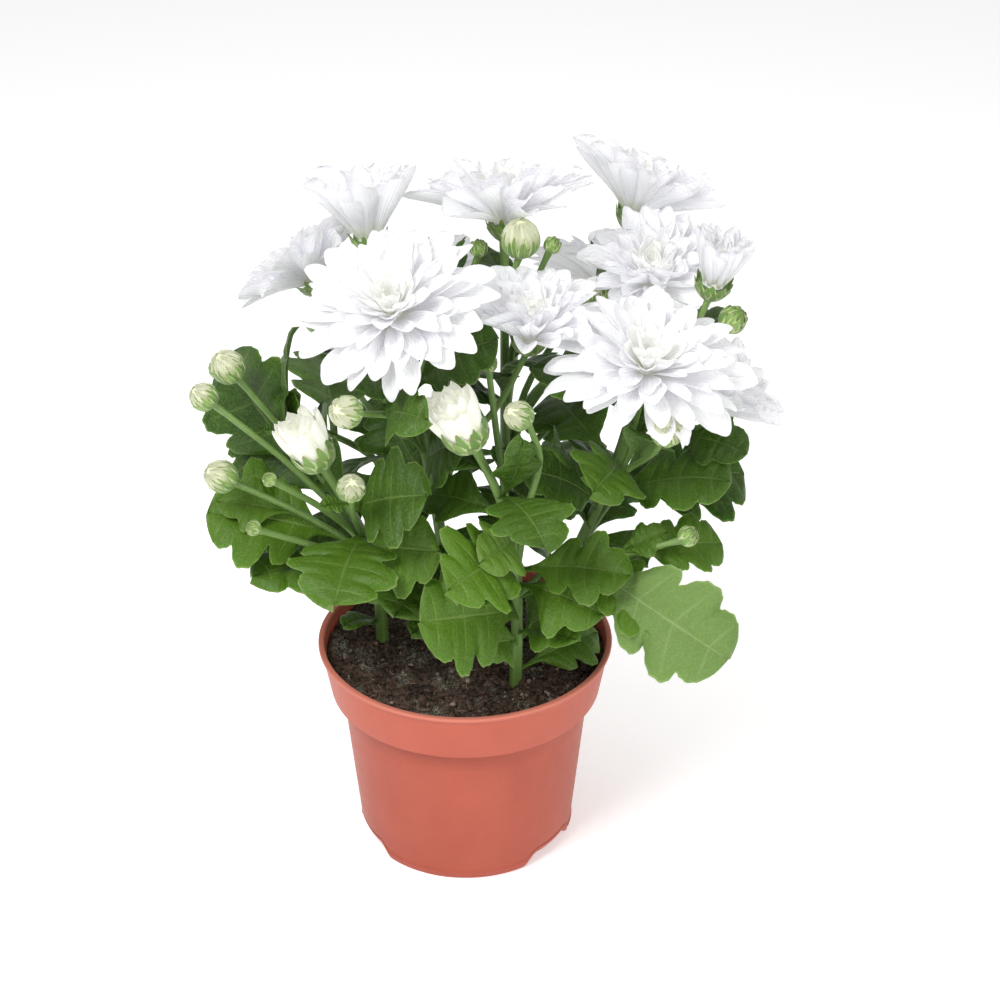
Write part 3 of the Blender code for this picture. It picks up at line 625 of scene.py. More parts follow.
class Signal:
    """A shader socket that takes part in arithmetic; each operation adds its Math node."""

    def __init__(self, sheet: "Sheet", socket: bpy.types.NodeSocket) -> None:
        """Wraps a socket of a sheet's node tree.

        Args:
            sheet: The sheet that the socket belongs to.
            socket: The socket.
        """
        self.sheet, self.socket = sheet, socket

    def _math(self, operation: str, *values: "Signal | float") -> "Signal":
        """A Math node on these values."""
        return self.sheet.node("Math", {"operation": operation}, dict(enumerate(values)))

    def __add__(self, other: "Signal | float") -> "Signal":
        """Sum."""
        return self._math("ADD", self, other)

    def __sub__(self, other: "Signal | float") -> "Signal":
        """Difference."""
        return self._math("SUBTRACT", self, other)

    def __rsub__(self, other: float) -> "Signal":
        """Difference from a number."""
        return self._math("SUBTRACT", other, self)

    def __mul__(self, other: "Signal | float") -> "Signal":
        """Product."""
        return self._math("MULTIPLY", self, other)

    def __truediv__(self, other: "Signal | float") -> "Signal":
        """Quotient."""
        return self._math("DIVIDE", self, other)

    def __pow__(self, other: float) -> "Signal":
        """Power."""
        return self._math("POWER", self, other)

    def __abs__(self) -> "Signal":
        """Size without sign."""
        return self._math("ABSOLUTE", self)

    __radd__ = __add__
    __rmul__ = __mul__

    def most(self, other: "Signal | float") -> "Signal":
        """The larger of two."""
        return self._math("MAXIMUM", self, other)

    def step(self, low: float, high: float) -> "Signal":
        """A soft step from 0 at low to 1 at high, which may be the smaller of the two."""
        share = self._math("SUBTRACT", self, low) / (high - low)
        return self.sheet.node("Clamp", {}, {0: share})

    def wave(self, period: float, phase: float = 0.0) -> "Signal":
        """A triangle wave of a coordinate: 0 at the phase and at each period from it, 0.5 midway."""
        turns = (self - phase) / period
        return abs(turns - self._math("ROUND", turns))


class Sheet:
    """One material's node tree, round a Principled shader."""

    def __init__(self, name: str, **constants: object) -> None:
        """Makes the material.

        Args:
            name: The material's name.
            **constants: Values of the shader's own sockets, by name with _ for a space.
        """
        self.material = bpy.data.materials.new(name)
        self.material.use_nodes = True
        self.tree = self.material.node_tree
        self.tree.nodes.clear()
        self.shader = self.tree.nodes.new("ShaderNodeBsdfPrincipled")
        output = self.tree.nodes.new("ShaderNodeOutputMaterial")
        self.tree.links.new(self.shader.outputs[0], output.inputs["Surface"])
        for key, value in constants.items():
            self.shader.inputs[key.replace("_", " ")].default_value = value

    def node(
        self, kind: str, settings: dict[str, object], inputs: dict[int | str, object], output: int | str = 0
    ) -> Signal:
        """Adds a node.

        Args:
            kind: The node's type, without its ShaderNode prefix.
            settings: Its properties.
            inputs: A value or a Signal for each socket, by number or name.
            output: Which output to give back.

        Returns:
            The output as a Signal.
        """
        made = self.tree.nodes.new("ShaderNode" + kind)
        for key, value in settings.items():
            setattr(made, key, value)
        for key, value in inputs.items():
            if isinstance(value, Signal):
                self.tree.links.new(value.socket, made.inputs[key])
            else:
                made.inputs[key].default_value = value
        return Signal(self, made.outputs[output])

    def mix(self, factor: Signal | float, low: Signal | Colour, high: Signal | Colour) -> Signal:
        """A colour between low and high."""
        colours = {6: self._colour(low), 7: self._colour(high)}
        return self.node("Mix", {"data_type": "RGBA"}, {0: factor, **colours}, 2)

    @staticmethod
    def _colour(value: Signal | Colour) -> Signal | tuple[float, ...]:
        """A colour with its alpha, or a Signal as it is."""
        return value if isinstance(value, Signal) else (*value, 1.0)

    def object_noise(self, scale: float, detail: float = 3.0, roughness: float = 0.5) -> Signal:
        """Noise through the piece's own space, in cycles a metre."""
        place = self.node("TexCoord", {}, {}, "Object")
        return self.node("TexNoise", {}, {"Vector": place, "Scale": scale, "Detail": detail, "Roughness": roughness})

    def blade(self) -> tuple[Signal, Signal, Signal]:
        """The blade attribute: across from -1 to 1, along from 0 to 1, and the blade's own tone."""
        value = self.node("Attribute", {"attribute_name": "blade"}, {}, "Vector")
        return tuple(self.node("SeparateXYZ", {}, {0: value}, i) for i in range(3))

    def feed(self, **signals: Signal) -> None:
        """Links signals to the shader's sockets, by name with _ for a space."""
        for key, signal in signals.items():
            self.tree.links.new(signal.socket, self.shader.inputs[key.replace("_", " ")])

    def bump(self, height: Signal, distance: float, strength: float = 1.0) -> None:
        """Feeds a height, in the piece's metres, to the shader's normal."""
        self.feed(Normal=self.node("Bump", {}, {"Strength": strength, "Distance": distance, "Height": height}))


@dataclass(frozen=True)
class PotPlastic:
    """Moulded terracotta-coloured plastic: satin, slightly mottled, with peat dust inside the rim and painted light and
    shade.
    """

    colour: Colour = (0.360, 0.081, 0.052)
    # pale serves both the random mottle and the painted light, lip is a painted highlight and shade is painted shade.
    pale: Colour = (0.470, 0.116, 0.077)
    lip: Colour = (0.66, 0.25, 0.18)
    shade: Colour = (0.24, 0.052, 0.032)
    speck: Colour = (0.33, 0.085, 0.05)
    dust: Colour = (0.10, 0.055, 0.035)
    roughness: float = 0.42
    # Heights, in metres, between which the collar's painted light, the lip's painted highlight and the painted shade
    # under the step set in.
    collar_light_from: tuple[float, float] = (0.0665, 0.0705)
    lip_highlight_from: tuple[float, float] = (0.0893, 0.0903)
    shade_from: tuple[float, float] = (0.058, 0.0682)
    shade_to: tuple[float, float] = (0.0695, 0.0684)

    def make(self) -> bpy.types.Material:
        """The material."""
        sheet = Sheet(
            "pot_plastic", Roughness=self.roughness, Specular_IOR_Level=0.14, Subsurface_Weight=0.06,
            Subsurface_Radius=(0.9, 0.35, 0.25), Subsurface_Scale=0.002,
        )
        cloud = sheet.object_noise(34.0, 4.0, 0.6)
        height = sheet.node("SeparateXYZ", {}, {0: sheet.node("TexCoord", {}, {}, "Object")}, 2)
        # Mottled at random, and painted light: paler upwards from the floor and paler again on the collar.
        mottle_and_painted_light = cloud.step(0.35, 0.7) * 0.4 + height.step(0.0, 0.07) * 0.15 + height.step(*self.collar_light_from) * 0.45
        base = sheet.mix(mottle_and_painted_light, self.colour, self.pale)
        # A painted highlight along the lip.
        base = sheet.mix(height.step(*self.lip_highlight_from) * 0.5, base, self.lip)
        # Painted shade in a band under the collar's step.
        shadow = height.step(*self.shade_from) * height.step(*self.shade_to)
        base = sheet.mix(shadow * 0.5, base, self.shade)
        speck = sheet.object_noise(900.0, 2.0).step(0.66, 0.74) * 0.18
        base = sheet.mix(speck, base, self.speck)
        across = sheet.blade()[0]
        dirt = across.step(0.4, 0.9) * sheet.object_noise(160.0, 5.0, 0.7).step(0.42, 0.62)
        base = sheet.mix(dirt * 0.85, base, self.dust)
        rough = sheet.object_noise(260.0, 4.0) * 0.16 + dirt * 0.3 + (self.roughness - 0.08)
        sheet.feed(Base_Color=base, Roughness=rough)
        sheet.bump(sheet.object_noise(420.0, 3.0) * 0.6 + cloud * 0.8, 0.00012)
        return sheet.material


@dataclass(frozen=True)
class PeatFinish:
    """Dark, moist peat with pale grains and fibres."""

    dark: Colour = (0.016, 0.010, 0.008)
    brown: Colour = (0.175, 0.108, 0.076)
    pale: Colour = (0.44, 0.34, 0.27)
    moss: Colour = (0.34, 0.38, 0.29)

    def make(self) -> bpy.types.Material:
        """The material."""
        sheet = Sheet("peat", Roughness=0.9, Specular_IOR_Level=0.25)
        coarse = sheet.object_noise(420.0, 6.0, 0.75)
        fine = sheet.object_noise(1300.0, 4.0, 0.7)
        base = sheet.mix(coarse.step(0.42, 0.66), self.dark, self.brown)
        base = sheet.mix(fine.step(0.58, 0.70) * 0.6, base, self.pale)
        moss = sheet.object_noise(70.0, 2.0).step(0.52, 0.62) * sheet.object_noise(900.0, 4.0, 0.7).step(0.48, 0.58)
        base = sheet.mix(moss * 0.6, base, self.moss)
        base = sheet.mix(sheet.blade()[2].step(0.5, 1.0), base, self.pale)
        sheet.feed(Base_Color=base, Roughness=1.0 - fine * 0.25)
        sheet.bump(coarse * 0.9 + fine * 0.6, 0.0012)
        return sheet.material


@dataclass(frozen=True)
class FibreFinish:
    """Pale peat fibres and bits of perlite."""

    dark: Colour = (0.11, 0.065, 0.04)
    pale: Colour = (0.36, 0.27, 0.19)
    dirt: Colour = (0.05, 0.03, 0.02)

    def make(self) -> bpy.types.Material:
        """The material."""
        sheet = Sheet("peat_fibre", Roughness=0.8)
        base = sheet.mix(sheet.blade()[2], self.dark, self.pale)
        sheet.feed(Base_Color=sheet.mix(sheet.object_noise(900.0).step(0.4, 0.7) * 0.4, base, self.dirt))
        return sheet.material


# The side veins' places along a blade, as shares of its length.
VEIN_PITCH = 0.235
MINOR_VEIN_PITCH = 0.0783
VEIN_PHASE = 0.41


@dataclass(frozen=True)
class LeafFinish:
    """A leaf's face: green between pale veins, with a pale margin and a short felt of hairs."""

    name: str
    young_and_lit: Colour
    old_and_shaded: Colour
    vein: Colour
    pale: Colour
    vein_share: float
    roughness: float
    sheen: float

    def make(self) -> bpy.types.Material:
        """The material."""
        sheet = Sheet(
            self.name, Roughness=self.roughness, Specular_IOR_Level=0.24, Sheen_Weight=self.sheen, Sheen_Roughness=0.45,
            Subsurface_Weight=0.12, Subsurface_Radius=(0.35, 0.9, 0.15), Subsurface_Scale=0.0015,
        )
        across, along, tone = sheet.blade()
        rib = abs(across).step(0.045, 0.008)
        slant = along - abs(across) * 0.03
        lateral = slant.wave(VEIN_PITCH, VEIN_PHASE).step(0.05, 0.012) * abs(across).step(1.0, 0.5)
        minor = slant.wave(MINOR_VEIN_PITCH, VEIN_PHASE).step(0.10, 0.03)
        lateral = lateral.most(minor * abs(across).step(0.9, 0.2) * 0.35)
        place = sheet.node("TexCoord", {}, {}, "Object")
        cells = sheet.node("TexVoronoi", {"feature": "DISTANCE_TO_EDGE"}, {"Vector": place, "Scale": 620.0})
        blotch = sheet.object_noise(95.0, 4.0, 0.6)
        # The tone is partly random and partly painted light and shade; it sets the old against the young green and, at
        # its top, the pale one.
        base = sheet.mix(tone.step(0.0, 0.75), self.old_and_shaded, self.young_and_lit)
        base = sheet.mix(blotch.step(0.35, 0.7) * 0.3, base, self.young_and_lit)
        base = sheet.mix(tone.step(0.6, 1.0) * 0.6, base, self.pale)
        base = sheet.mix(sheet.object_noise(1100.0, 3.0, 0.65).step(0.45, 0.75) * 0.28, base, self.vein)
        veins = rib.most(lateral * 0.5).most(cells.step(0.10, 0.02) * 0.12)
        base = sheet.mix(veins * self.vein_share, base, self.vein)
        rim = abs(across).step(0.95, 1.0) * along.step(0.2, 0.3)
        base = sheet.mix(rim * 0.6, base, self.vein)
        sheet.feed(Base_Color=base, Roughness=sheet.object_noise(500.0, 3.0) * 0.24 + (self.roughness - 0.14))
        sheet.bump(sheet.object_noise(1100.0, 3.0, 0.6) * 0.7 + blotch * 2.0 - veins * 0.7, 0.0004)
        return sheet.material


LEAF_TOP = LeafFinish(
    "leaf_top", young_and_lit=(0.078, 0.170, 0.007), old_and_shaded=(0.010, 0.038, 0.001), vein=(0.20, 0.29, 0.075),
    pale=(0.20, 0.285, 0.10), vein_share=0.40, roughness=0.42, sheen=0.0,
)
LEAF_UNDER = LeafFinish(
    "leaf_under", young_and_lit=(0.12, 0.21, 0.042), old_and_shaded=(0.065, 0.13, 0.022), vein=(0.28, 0.37, 0.16),
    pale=(0.20, 0.29, 0.11), vein_share=0.5, roughness=0.58, sheen=0.05,
)


@dataclass(frozen=True)
class StemFinish:
    """A young stem: mid green, paler upwards and on its five ribs."""

    low: Colour = (0.075, 0.16, 0.018)
    high: Colour = (0.15, 0.26, 0.060)
    rib: Colour = (0.24, 0.33, 0.12)
    blotch: Colour = (0.045, 0.10, 0.016)

    def make(self) -> bpy.types.Material:
        """The material."""
        sheet = Sheet(
            "stem_green", Roughness=0.5, Sheen_Weight=0.05, Sheen_Roughness=0.4, Subsurface_Weight=0.15,
            Subsurface_Radius=(0.4, 0.9, 0.2), Subsurface_Scale=0.002,
        )
        across, along, _ = sheet.blade()
        base = sheet.mix(along, self.low, self.high)
        base = sheet.mix(across.wave(1 / STEM_RIBS).step(0.2, 0.45) * 0.3, base, self.rib)
        base = sheet.mix(sheet.object_noise(240.0, 4.0, 0.6).step(0.5, 0.72) * 0.3, base, self.blotch)
        sheet.feed(Base_Color=base)
        sheet.bump(sheet.object_noise(1400.0, 3.0) * 0.7, 0.0002)
        return sheet.material


@dataclass(frozen=True)
class BractFinish:
    """The small bracts round a bud: green down the middle, thin and pale along the edge, brown at the tip."""

    deep: Colour = (0.095, 0.20, 0.028)
    light: Colour = (0.20, 0.33, 0.07)
    edge: Colour = (0.60, 0.66, 0.34)
    tip: Colour = (0.24, 0.17, 0.08)

    def make(self) -> bpy.types.Material:
        """The material."""
        sheet = Sheet(
            "bract_green", Roughness=0.5, Sheen_Weight=0.2, Subsurface_Weight=0.15,
            Subsurface_Radius=(0.4, 0.9, 0.2), Subsurface_Scale=0.0015,
        )
        across, along, tone = sheet.blade()
        base = sheet.mix(tone, self.deep, self.light)
        base = sheet.mix(abs(across).step(0.45, 0.95), base, self.edge)
        base = sheet.mix(along.step(0.88, 1.0) * 0.6, base, self.tip)
        sheet.feed(Base_Color=base)
        sheet.bump(sheet.object_noise(1500.0, 3.0), 0.00015)
        return sheet.material


@dataclass(frozen=True)
class PetalFinish:
    """A petal: white, faintly ribbed along its length, yellow-green at the root, with a faint painted glow and painted
    shade along its margins.
    """

    name: str
    white: Colour
    shade: Colour
    root: Colour
    root_reach: float
    # Painted light: the petal glows faintly in its own white, as though lit through.
    painted_glow: float = 0.12
    # How strongly the margins turn to the rim colour: painted shade that sets one petal off from the next.
    edge: float = 0.0
    rim: Colour = (0.80, 0.80, 0.85)

    def make(self) -> bpy.types.Material:
        """The material."""
        sheet = Sheet(
            self.name, Roughness=0.52, Specular_IOR_Level=0.3, Sheen_Weight=0.1, Subsurface_Weight=0.5,
            Subsurface_Radius=(1.0, 1.0, 1.0), Subsurface_Scale=0.005, Emission_Color=(*self.white, 1),
            Emission_Strength=self.painted_glow,
        )
        across, along, tone = sheet.blade()
        ribs = across.wave(0.16).step(0.5, 0.1)
        base = sheet.mix(ribs * 0.22 + tone * 0.35, self.white, self.shade)
        base = sheet.mix(sheet.object_noise(120.0, 3.0).step(0.4, 0.75) * 0.2, base, self.shade)
        # Painted shade along the margins.
        base = sheet.mix(abs(across).step(0.62, 1.0) * self.edge, base, self.rim)
        base = sheet.mix(along.step(self.root_reach, 0.0) ** 1.4, base, self.root)
        sheet.feed(Base_Color=base)
        sheet.bump(ribs * 0.8 + sheet.object_noise(900.0, 2.0) * 0.3, 0.00018)
        return sheet.material


# In each finish below, the rim at its edge weight is painted shade and the glow is painted light.
PETAL_TOP = PetalFinish("petal_white", (0.93, 0.93, 0.94), (0.85, 0.85, 0.88), (0.80, 0.82, 0.48), 0.22, edge=0.25)
# The back face: greyer than the upper face, which is painted shade, with a broad painted-shade rim.
PETAL_UNDER = PetalFinish(
    "petal_back", (0.90, 0.90, 0.92), (0.76, 0.76, 0.805), (0.68, 0.74, 0.38), 0.34, edge=0.8, rim=(0.52, 0.52, 0.58)
)
INNER_PETAL = PetalFinish("petal_inner", (0.93, 0.93, 0.91), (0.89, 0.90, 0.84), (0.78, 0.82, 0.42), 0.38)
FLORET = PetalFinish("eye_floret", (0.86, 0.87, 0.46), (0.74, 0.78, 0.30), (0.46, 0.56, 0.14), 0.8, painted_glow=0.10)
CREAM_PETAL = PetalFinish(
    "petal_cream", (0.92, 0.92, 0.84), (0.84, 0.85, 0.70), (0.56, 0.66, 0.22), 0.32, painted_glow=0.2, edge=0.15,
    rim=(0.70, 0.76, 0.42),
)
BUD_PETAL = PetalFinish(
    "bud_petal", (0.88, 0.90, 0.62), (0.76, 0.81, 0.44), (0.34, 0.48, 0.10), 0.50, painted_glow=0.08, edge=0.8,
    rim=(0.36, 0.50, 0.11),
)


class MeshMaker:
    """Gathers closed sheets, tubes and turned solids, in millimetres, into one mesh object."""

    def __init__(self) -> None:
        """Starts empty."""
        self.points: list[np.ndarray] = []
        self.blades: list[np.ndarray] = []
        self.faces: list[np.ndarray] = []
        self.looks: list[np.ndarray] = []
        self.count = 0

    def add(self, points: np.ndarray, blades: np.ndarray, faces: np.ndarray, looks: np.ndarray) -> None:
        """Adds points with their blade values, and faces of four with their material's number.

        Args:
            points: The points, one a row, in millimetres.
            blades: Their blade values, one a row.
            faces: The numbers of each face's four points, counted from the first of these points.
            looks: The number of each face's material.
        """
        self.points.append(points)
        self.blades.append(blades)
        self.faces.append(faces + self.count)
        self.looks.append(looks)
        self.count += len(points)

    def sheet(self, top: np.ndarray, bottom: np.ndarray, blades: np.ndarray, looks: tuple[int, int]) -> None:
        """Adds a closed sheet, whose two faces share their edge.

        Args:
            top: Upper points, rows along by columns across by 3.
            bottom: Lower points in the same grid; those on the edge aren't used.
            blades: The blade values, in the same grid.
            looks: The materials of the upper and the lower face.
        """
        rows, columns = top.shape[:2]
        upper = np.arange(rows * columns).reshape(rows, columns)
        lower = upper.copy()
        inner = (rows - 2) * (columns - 2)
        lower[1:-1, 1:-1] = rows * columns + np.arange(inner).reshape(rows - 2, columns - 2)
        points = np.concatenate([top.reshape(-1, 3), bottom[1:-1, 1:-1].reshape(-1, 3)])
        values = np.concatenate([blades.reshape(-1, 3), blades[1:-1, 1:-1].reshape(-1, 3)])
        faces = np.concatenate([self._quads(upper), self._quads(lower)[:, ::-1]])
        count = (rows - 1) * (columns - 1)
        self.add(points, values, faces, np.repeat(looks, count))

    def placed_sheet(self, grids: list[np.ndarray], blade: tuple, place: Matrix, looks: tuple[int, int]) -> None:
        """Adds a closed sheet that is given in a frame of its own.

        Args:
            grids: The upper and the lower points, as sheet takes them, in that frame.
            blade: The three blade values, each a number or an array that spreads over the grid.
            place: The frame.
            looks: The materials of the upper and the lower face.
        """
        spin, shift = np.array(place.to_3x3()), np.array(place.translation)
        top, bottom = (grid @ spin.T + shift for grid in grids)
        self.sheet(top, bottom, np.stack(np.broadcast_arrays(*blade), axis=-1), looks)

    @staticmethod
    def _quads(grid: np.ndarray) -> np.ndarray:
        """The quads of a grid of point numbers."""
        corners = (grid[:-1, :-1], grid[:-1, 1:], grid[1:, 1:], grid[1:, :-1])
        return np.stack(corners, axis=-1).reshape(-1, 4)

    def tube(self, path: list[Vector], radii: list[float], sides: int, look: int, rib: float = 0.0,
             tone: float = 0.5) -> None:
        """Adds a closed round stem.

        Args:
            path: Its middle line.
            radii: Its radius at each point of the path.
            sides: How many sides it has.
            look: Its material.
            rib: How far its ribs stand out, as a share of the radius.
            tone: The blade value that tells one from another.
        """
        points, blades = [], []
        side: Vector | None = None
        for i, centre in enumerate(path):
            ahead = path[min(i + 1, len(path) - 1)] - path[max(i - 1, 0)]
            if side is None:
                side, over = frame_along(ahead)
            else:
                over = side.cross(ahead).normalized()
                side = ahead.cross(over).normalized()
            for s in range(sides):
                turn = TAU * s / sides
                reach = radii[i] * (1 + rib * math.cos(STEM_RIBS * turn))
                points.append(centre + reach * (side * math.cos(turn) + over * math.sin(turn)))
                blades.append((s / sides, i / (len(path) - 1), tone))
        grid = np.arange(len(points)).reshape(len(path), sides)
        grid = np.hstack([grid, grid[:, :1]])
        ends = len(points)
        points += [path[0], path[-1]]
        blades += [(0, 0, tone), (0, 1, tone)]
        faces = [self._quads(grid)[:, ::-1]]
        low = [(ends, grid[0, s], grid[0, s + 1], grid[0, s + 1]) for s in range(sides)]
        high = [(ends + 1, grid[-1, s + 1], grid[-1, s], grid[-1, s]) for s in range(sides)]
        faces.append(np.array(low + high))
        faces = np.concatenate(faces)
        self.add(np.array(points), np.array(blades), faces, np.full(len(faces), look))

    def turned(self, outline: Outline, sides: int, look: int, place: Matrix | None = None,
               shape: Callable[[float, float, float], tuple[float, float]] | None = None, tone: float = 0.0,
               across: list[float] | None = None) -> None:
        """Adds a solid turned from an outline that starts and ends on the axis.

        Args:
            outline: (radius, height) points, up the outside and back to the axis.
            sides: How many sides it has.
            look: Its material.
            place: Where its axis goes; the pot's own axis if left out.
            shape: Moves a point: it takes the heading, the radius and the height.
            tone: The blade value of the whole.
            across: The blade's first value at each point of the outline.
        """
        place = place or Matrix.Identity(4)
        points, blades, grid = [], [], []
        for k, (radius, height) in enumerate(outline):
            mark = across[k] if across else 0.0
            if radius == 0:
                grid.append([len(points)] * (sides + 1))
                points.append(place @ Vector((0, 0, height)))
                blades.append((mark, k / len(outline), tone))
                continue
            row = list(range(len(points), len(points) + sides))
            grid.append(row + row[:1])
            for s in range(sides):
                turn = TAU * s / sides
                r, z = shape(turn, radius, height) if shape else (radius, height)
                points.append(place @ Vector((r * math.cos(turn), r * math.sin(turn), z)))
                blades.append((mark, k / len(outline), tone))
        faces = self._quads(np.array(grid))
        self.add(np.array(points), np.array(blades), faces, np.full(len(faces), look))

    def build(self, name: str, materials: list[bpy.types.Material], smooth_faces: bool = True) -> bpy.types.Object:
        """The finished object, in metres.

        Args:
            name: Its name.
            materials: Its materials, in the order of their numbers.
            smooth_faces: Whether it is shaded smooth.

        Returns:
            The object, linked to the scene.
        """
        mesh = bpy.data.meshes.new(name)
        points = np.concatenate(self.points) * MM
        faces = np.concatenate(self.faces)
        loops = [tuple(dict.fromkeys(map(int, face))) for face in faces]
        mesh.from_pydata(points.tolist(), [], loops)
        attribute = mesh.attributes.new("blade", "FLOAT_VECTOR", "POINT")
        attribute.data.foreach_set("vector", np.concatenate(self.blades).astype(np.float32).ravel())
        mesh.polygons.foreach_set("material_index", np.concatenate(self.looks).astype(np.int32))
        mesh.polygons.foreach_set("use_smooth", np.full(len(loops), smooth_faces))
        for material in materials:
            mesh.materials.append(material)
        mesh.update()
        mesh.set_sharp_from_angle(angle=math.radians(SHARP_DEG))
        made = bpy.data.objects.new(name, mesh)
        bpy.context.scene.collection.objects.link(made)
        return made


def dress(made: bpy.types.Object, slot: str, *nodes: str) -> bpy.types.Object:
    """Rides a finished piece on the plant's body in place of the solids that it stands for.

    Args:
        made: The piece.
        slot: A material slot's name; not used.
        *nodes: The solids that it replaces.

    Returns:
        The piece.
    """
    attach(made, BODY)
    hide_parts(*nodes)
    log.info("%s: %d faces for %s", made.name, len(made.data.polygons), ", ".join(nodes))
    return made


# ---------------------------------------------------------------- pot


def pocket_share(heading: float) -> float:
    """How much of the drain pockets' lift a heading gets, in degrees, from 0 to 1.

    Args:
        heading: The direction from the pot's axis, in degrees.

    Returns:
        The share: 1 in the middle of a pocket and 0 between them.
    """
    pitch = 360 / POT.pockets
    off = abs((heading - POT.pocket_centre + pitch / 2) % pitch - pitch / 2)
    return smooth((POT.pocket_half - off) / POT.pocket_slope)


def collar_inside(z: float) -> float:
    """The radius of the collar's inner wall at a height."""
    low = POT.shoulder_z + COLLAR_FLOOR
    return POT.collar_low_r - POT.wall + (POT.collar_top_r - POT.collar_low_r) * (z - low) / (POT.height - low)


@dataclass
class PotBody:
    """The moulded pot: tapered body, collar, lip, drain pockets and a hole in each of them."""

    sides: int = 180

    def outline(self) -> Outline:
        """(radius, height) points up the outside, over the lip, and down the inside; offsets are in millimetres."""
        lip_z = POT.height - POT.lip
        taper = (POT.shoulder_r - POT.base_r) / POT.shoulder_z
        points = [(0.0, 0.0), (POT.pocket_inner_r, 0.0), (34.0, 0.0), (38.0, 0.0), (POT.base_r - 1.6, 0.0)]
        points += self.round_edge(POT.base_r - 1.2, 1.2, 1.2, -90, 0, 4)
        points += [(POT.base_r + 0.25, 2.6), (POT.base_r + 0.75, 3.1), (POT.base_r + 0.75, 3.7)]
        points += [(POT.base_r + 0.3, 4.2)]
        points += [(POT.base_r + taper * z, z) for z in (6.0, 9.2, 14.0, 24.0, 36.0, 48.0, 60.0)]
        points += [(POT.shoulder_r - 0.05, POT.shoulder_z - 0.8), (POT.shoulder_r + 0.2, POT.shoulder_z - 0.2)]
        points += [(POT.shoulder_r + 1.0, POT.shoulder_z + 0.25), (POT.collar_low_r - 1.0, POT.shoulder_z + 0.7)]
        points += self.round_edge(POT.collar_low_r - 0.9, POT.shoulder_z + 1.6, 0.9, -80, 0, 3)
        rise = (POT.collar_top_r - POT.collar_low_r) / (lip_z - POT.shoulder_z - 1.6)
        points += [(POT.collar_low_r + rise * z, POT.shoulder_z + 1.6 + z) for z in (2.5, 7.0, 12.0, 16.5)]
        points += [(POT.collar_top_r - 0.15, lip_z - 0.4), (POT.collar_top_r + 0.25, lip_z - 0.05)]
        points += self.round_edge(POT.top_r - 0.7, lip_z + 0.75, 0.7, -70, 0, 3)
        points += self.round_edge(POT.top_r - 0.8, POT.height - 0.8, 0.8, 0, 90, 4)
        points += self.round_edge(POT.collar_top_r - POT.wall + 0.6, POT.height - 0.6, 0.6, 90, 180, 3)
        points += [(collar_inside(z), z) for z in (88.4, 85.0, 78.0, POT.shoulder_z + COLLAR_FLOOR)]
        points += [(POT.shoulder_r - POT.wall, POT.shoulder_z + 1.2), (POT.base_r - POT.wall + 0.9, 10.5)]
        points += [(POT.pocket_inner_r + 5 - POT.wall, POT.wall), (POT.pocket_inner_r - POT.wall, POT.wall)]
        return points + [(0.0, POT.wall)]

    @staticmethod
    def round_edge(r: float, z: float, radius: float, start: float, end: float, runs: int) -> Outline:
        """An arc of an outline round the centre (r, z), between two angles in degrees."""
        turns = [math.radians(start + (end - start) * i / runs) for i in range(runs + 1)]
        return [(r + radius * math.cos(a), z + radius * math.sin(a)) for a in turns]

    @staticmethod
    def pocket(turn: float, radius: float, height: float) -> tuple[float, float]:
        """Lifts the outer edge of the bottom in the drain pockets.

        Args:
            turn: The point's heading, in radians.
            radius: Its distance from the axis.
            height: Its height in the outline.

        Returns:
            The radius and the lifted height.
        """
        if radius < 1 or height > 2 * POT.pocket_lift:
            return radius, height
        reach = smooth((radius - POT.pocket_inner_r) / 6)
        fade = 1 - smooth((height - 2) / (2 * POT.pocket_lift - 2))
        return radius, height + POT.pocket_lift * pocket_share(math.degrees(turn)) * reach * fade

    def build(self) -> bpy.types.Object:
        """The pot, with its finish."""
        maker = MeshMaker()
        outline = self.outline()
        dirt = [0.0] * (len(outline) - INNER_POINTS) + [1.0] * INNER_POINTS
        maker.turned(outline, self.sides, 0, shape=self.pocket, across=dirt)
        pot = maker.build("pot_body", [PotPlastic().make()])
        self.drill(pot)
        return dress(pot, "terracotta_plastic", "pot")

    @staticmethod
    def drill(pot: bpy.types.Object) -> None:
        """Cuts the drain holes.

        Args:
            pot: The pot's object, whose mesh is replaced.
        """
        maker = MeshMaker()
        for i in range(POT.pockets):
            turn = math.radians(POT.pocket_centre + i * 360 / POT.pockets)
            foot = Vector((POT.drain_at_r * math.cos(turn), POT.drain_at_r * math.sin(turn), -1))
            maker.tube([foot, foot + UP * 12], [POT.drain_r] * 2, 24, 0)
        bits = maker.build("drain_bits", [], smooth_faces=False)
        cut = pot.modifiers.new("drill", "BOOLEAN")
        cut.operation, cut.solver, cut.object = "DIFFERENCE", "EXACT", bits
        graph = bpy.context.evaluated_depsgraph_get()
        drilled = bpy.data.meshes.new_from_object(pot.evaluated_get(graph))
        pot.modifiers.clear()
        pot.data = drilled
        bpy.data.objects.remove(bits)


# ---------------------------------------------------------------- soil


def soil_height(x: float, y: float) -> float:
    """The lumpy top of the soil, as its solid has it.

    Args:
        x: The place to the right of the pot's axis, in millimetres.
        y: The place behind it.

    Returns:
        The height, in millimetres.
    """
    return SOIL_Z + SOIL_LUMP * (
        0.5 * math.sin(0.13 * x + 1.1) * math.cos(0.11 * y)
        + 0.35 * math.sin(0.31 * x - 0.23 * y)
        + 0.25 * math.cos(0.37 * y + 0.19 * x)
    )


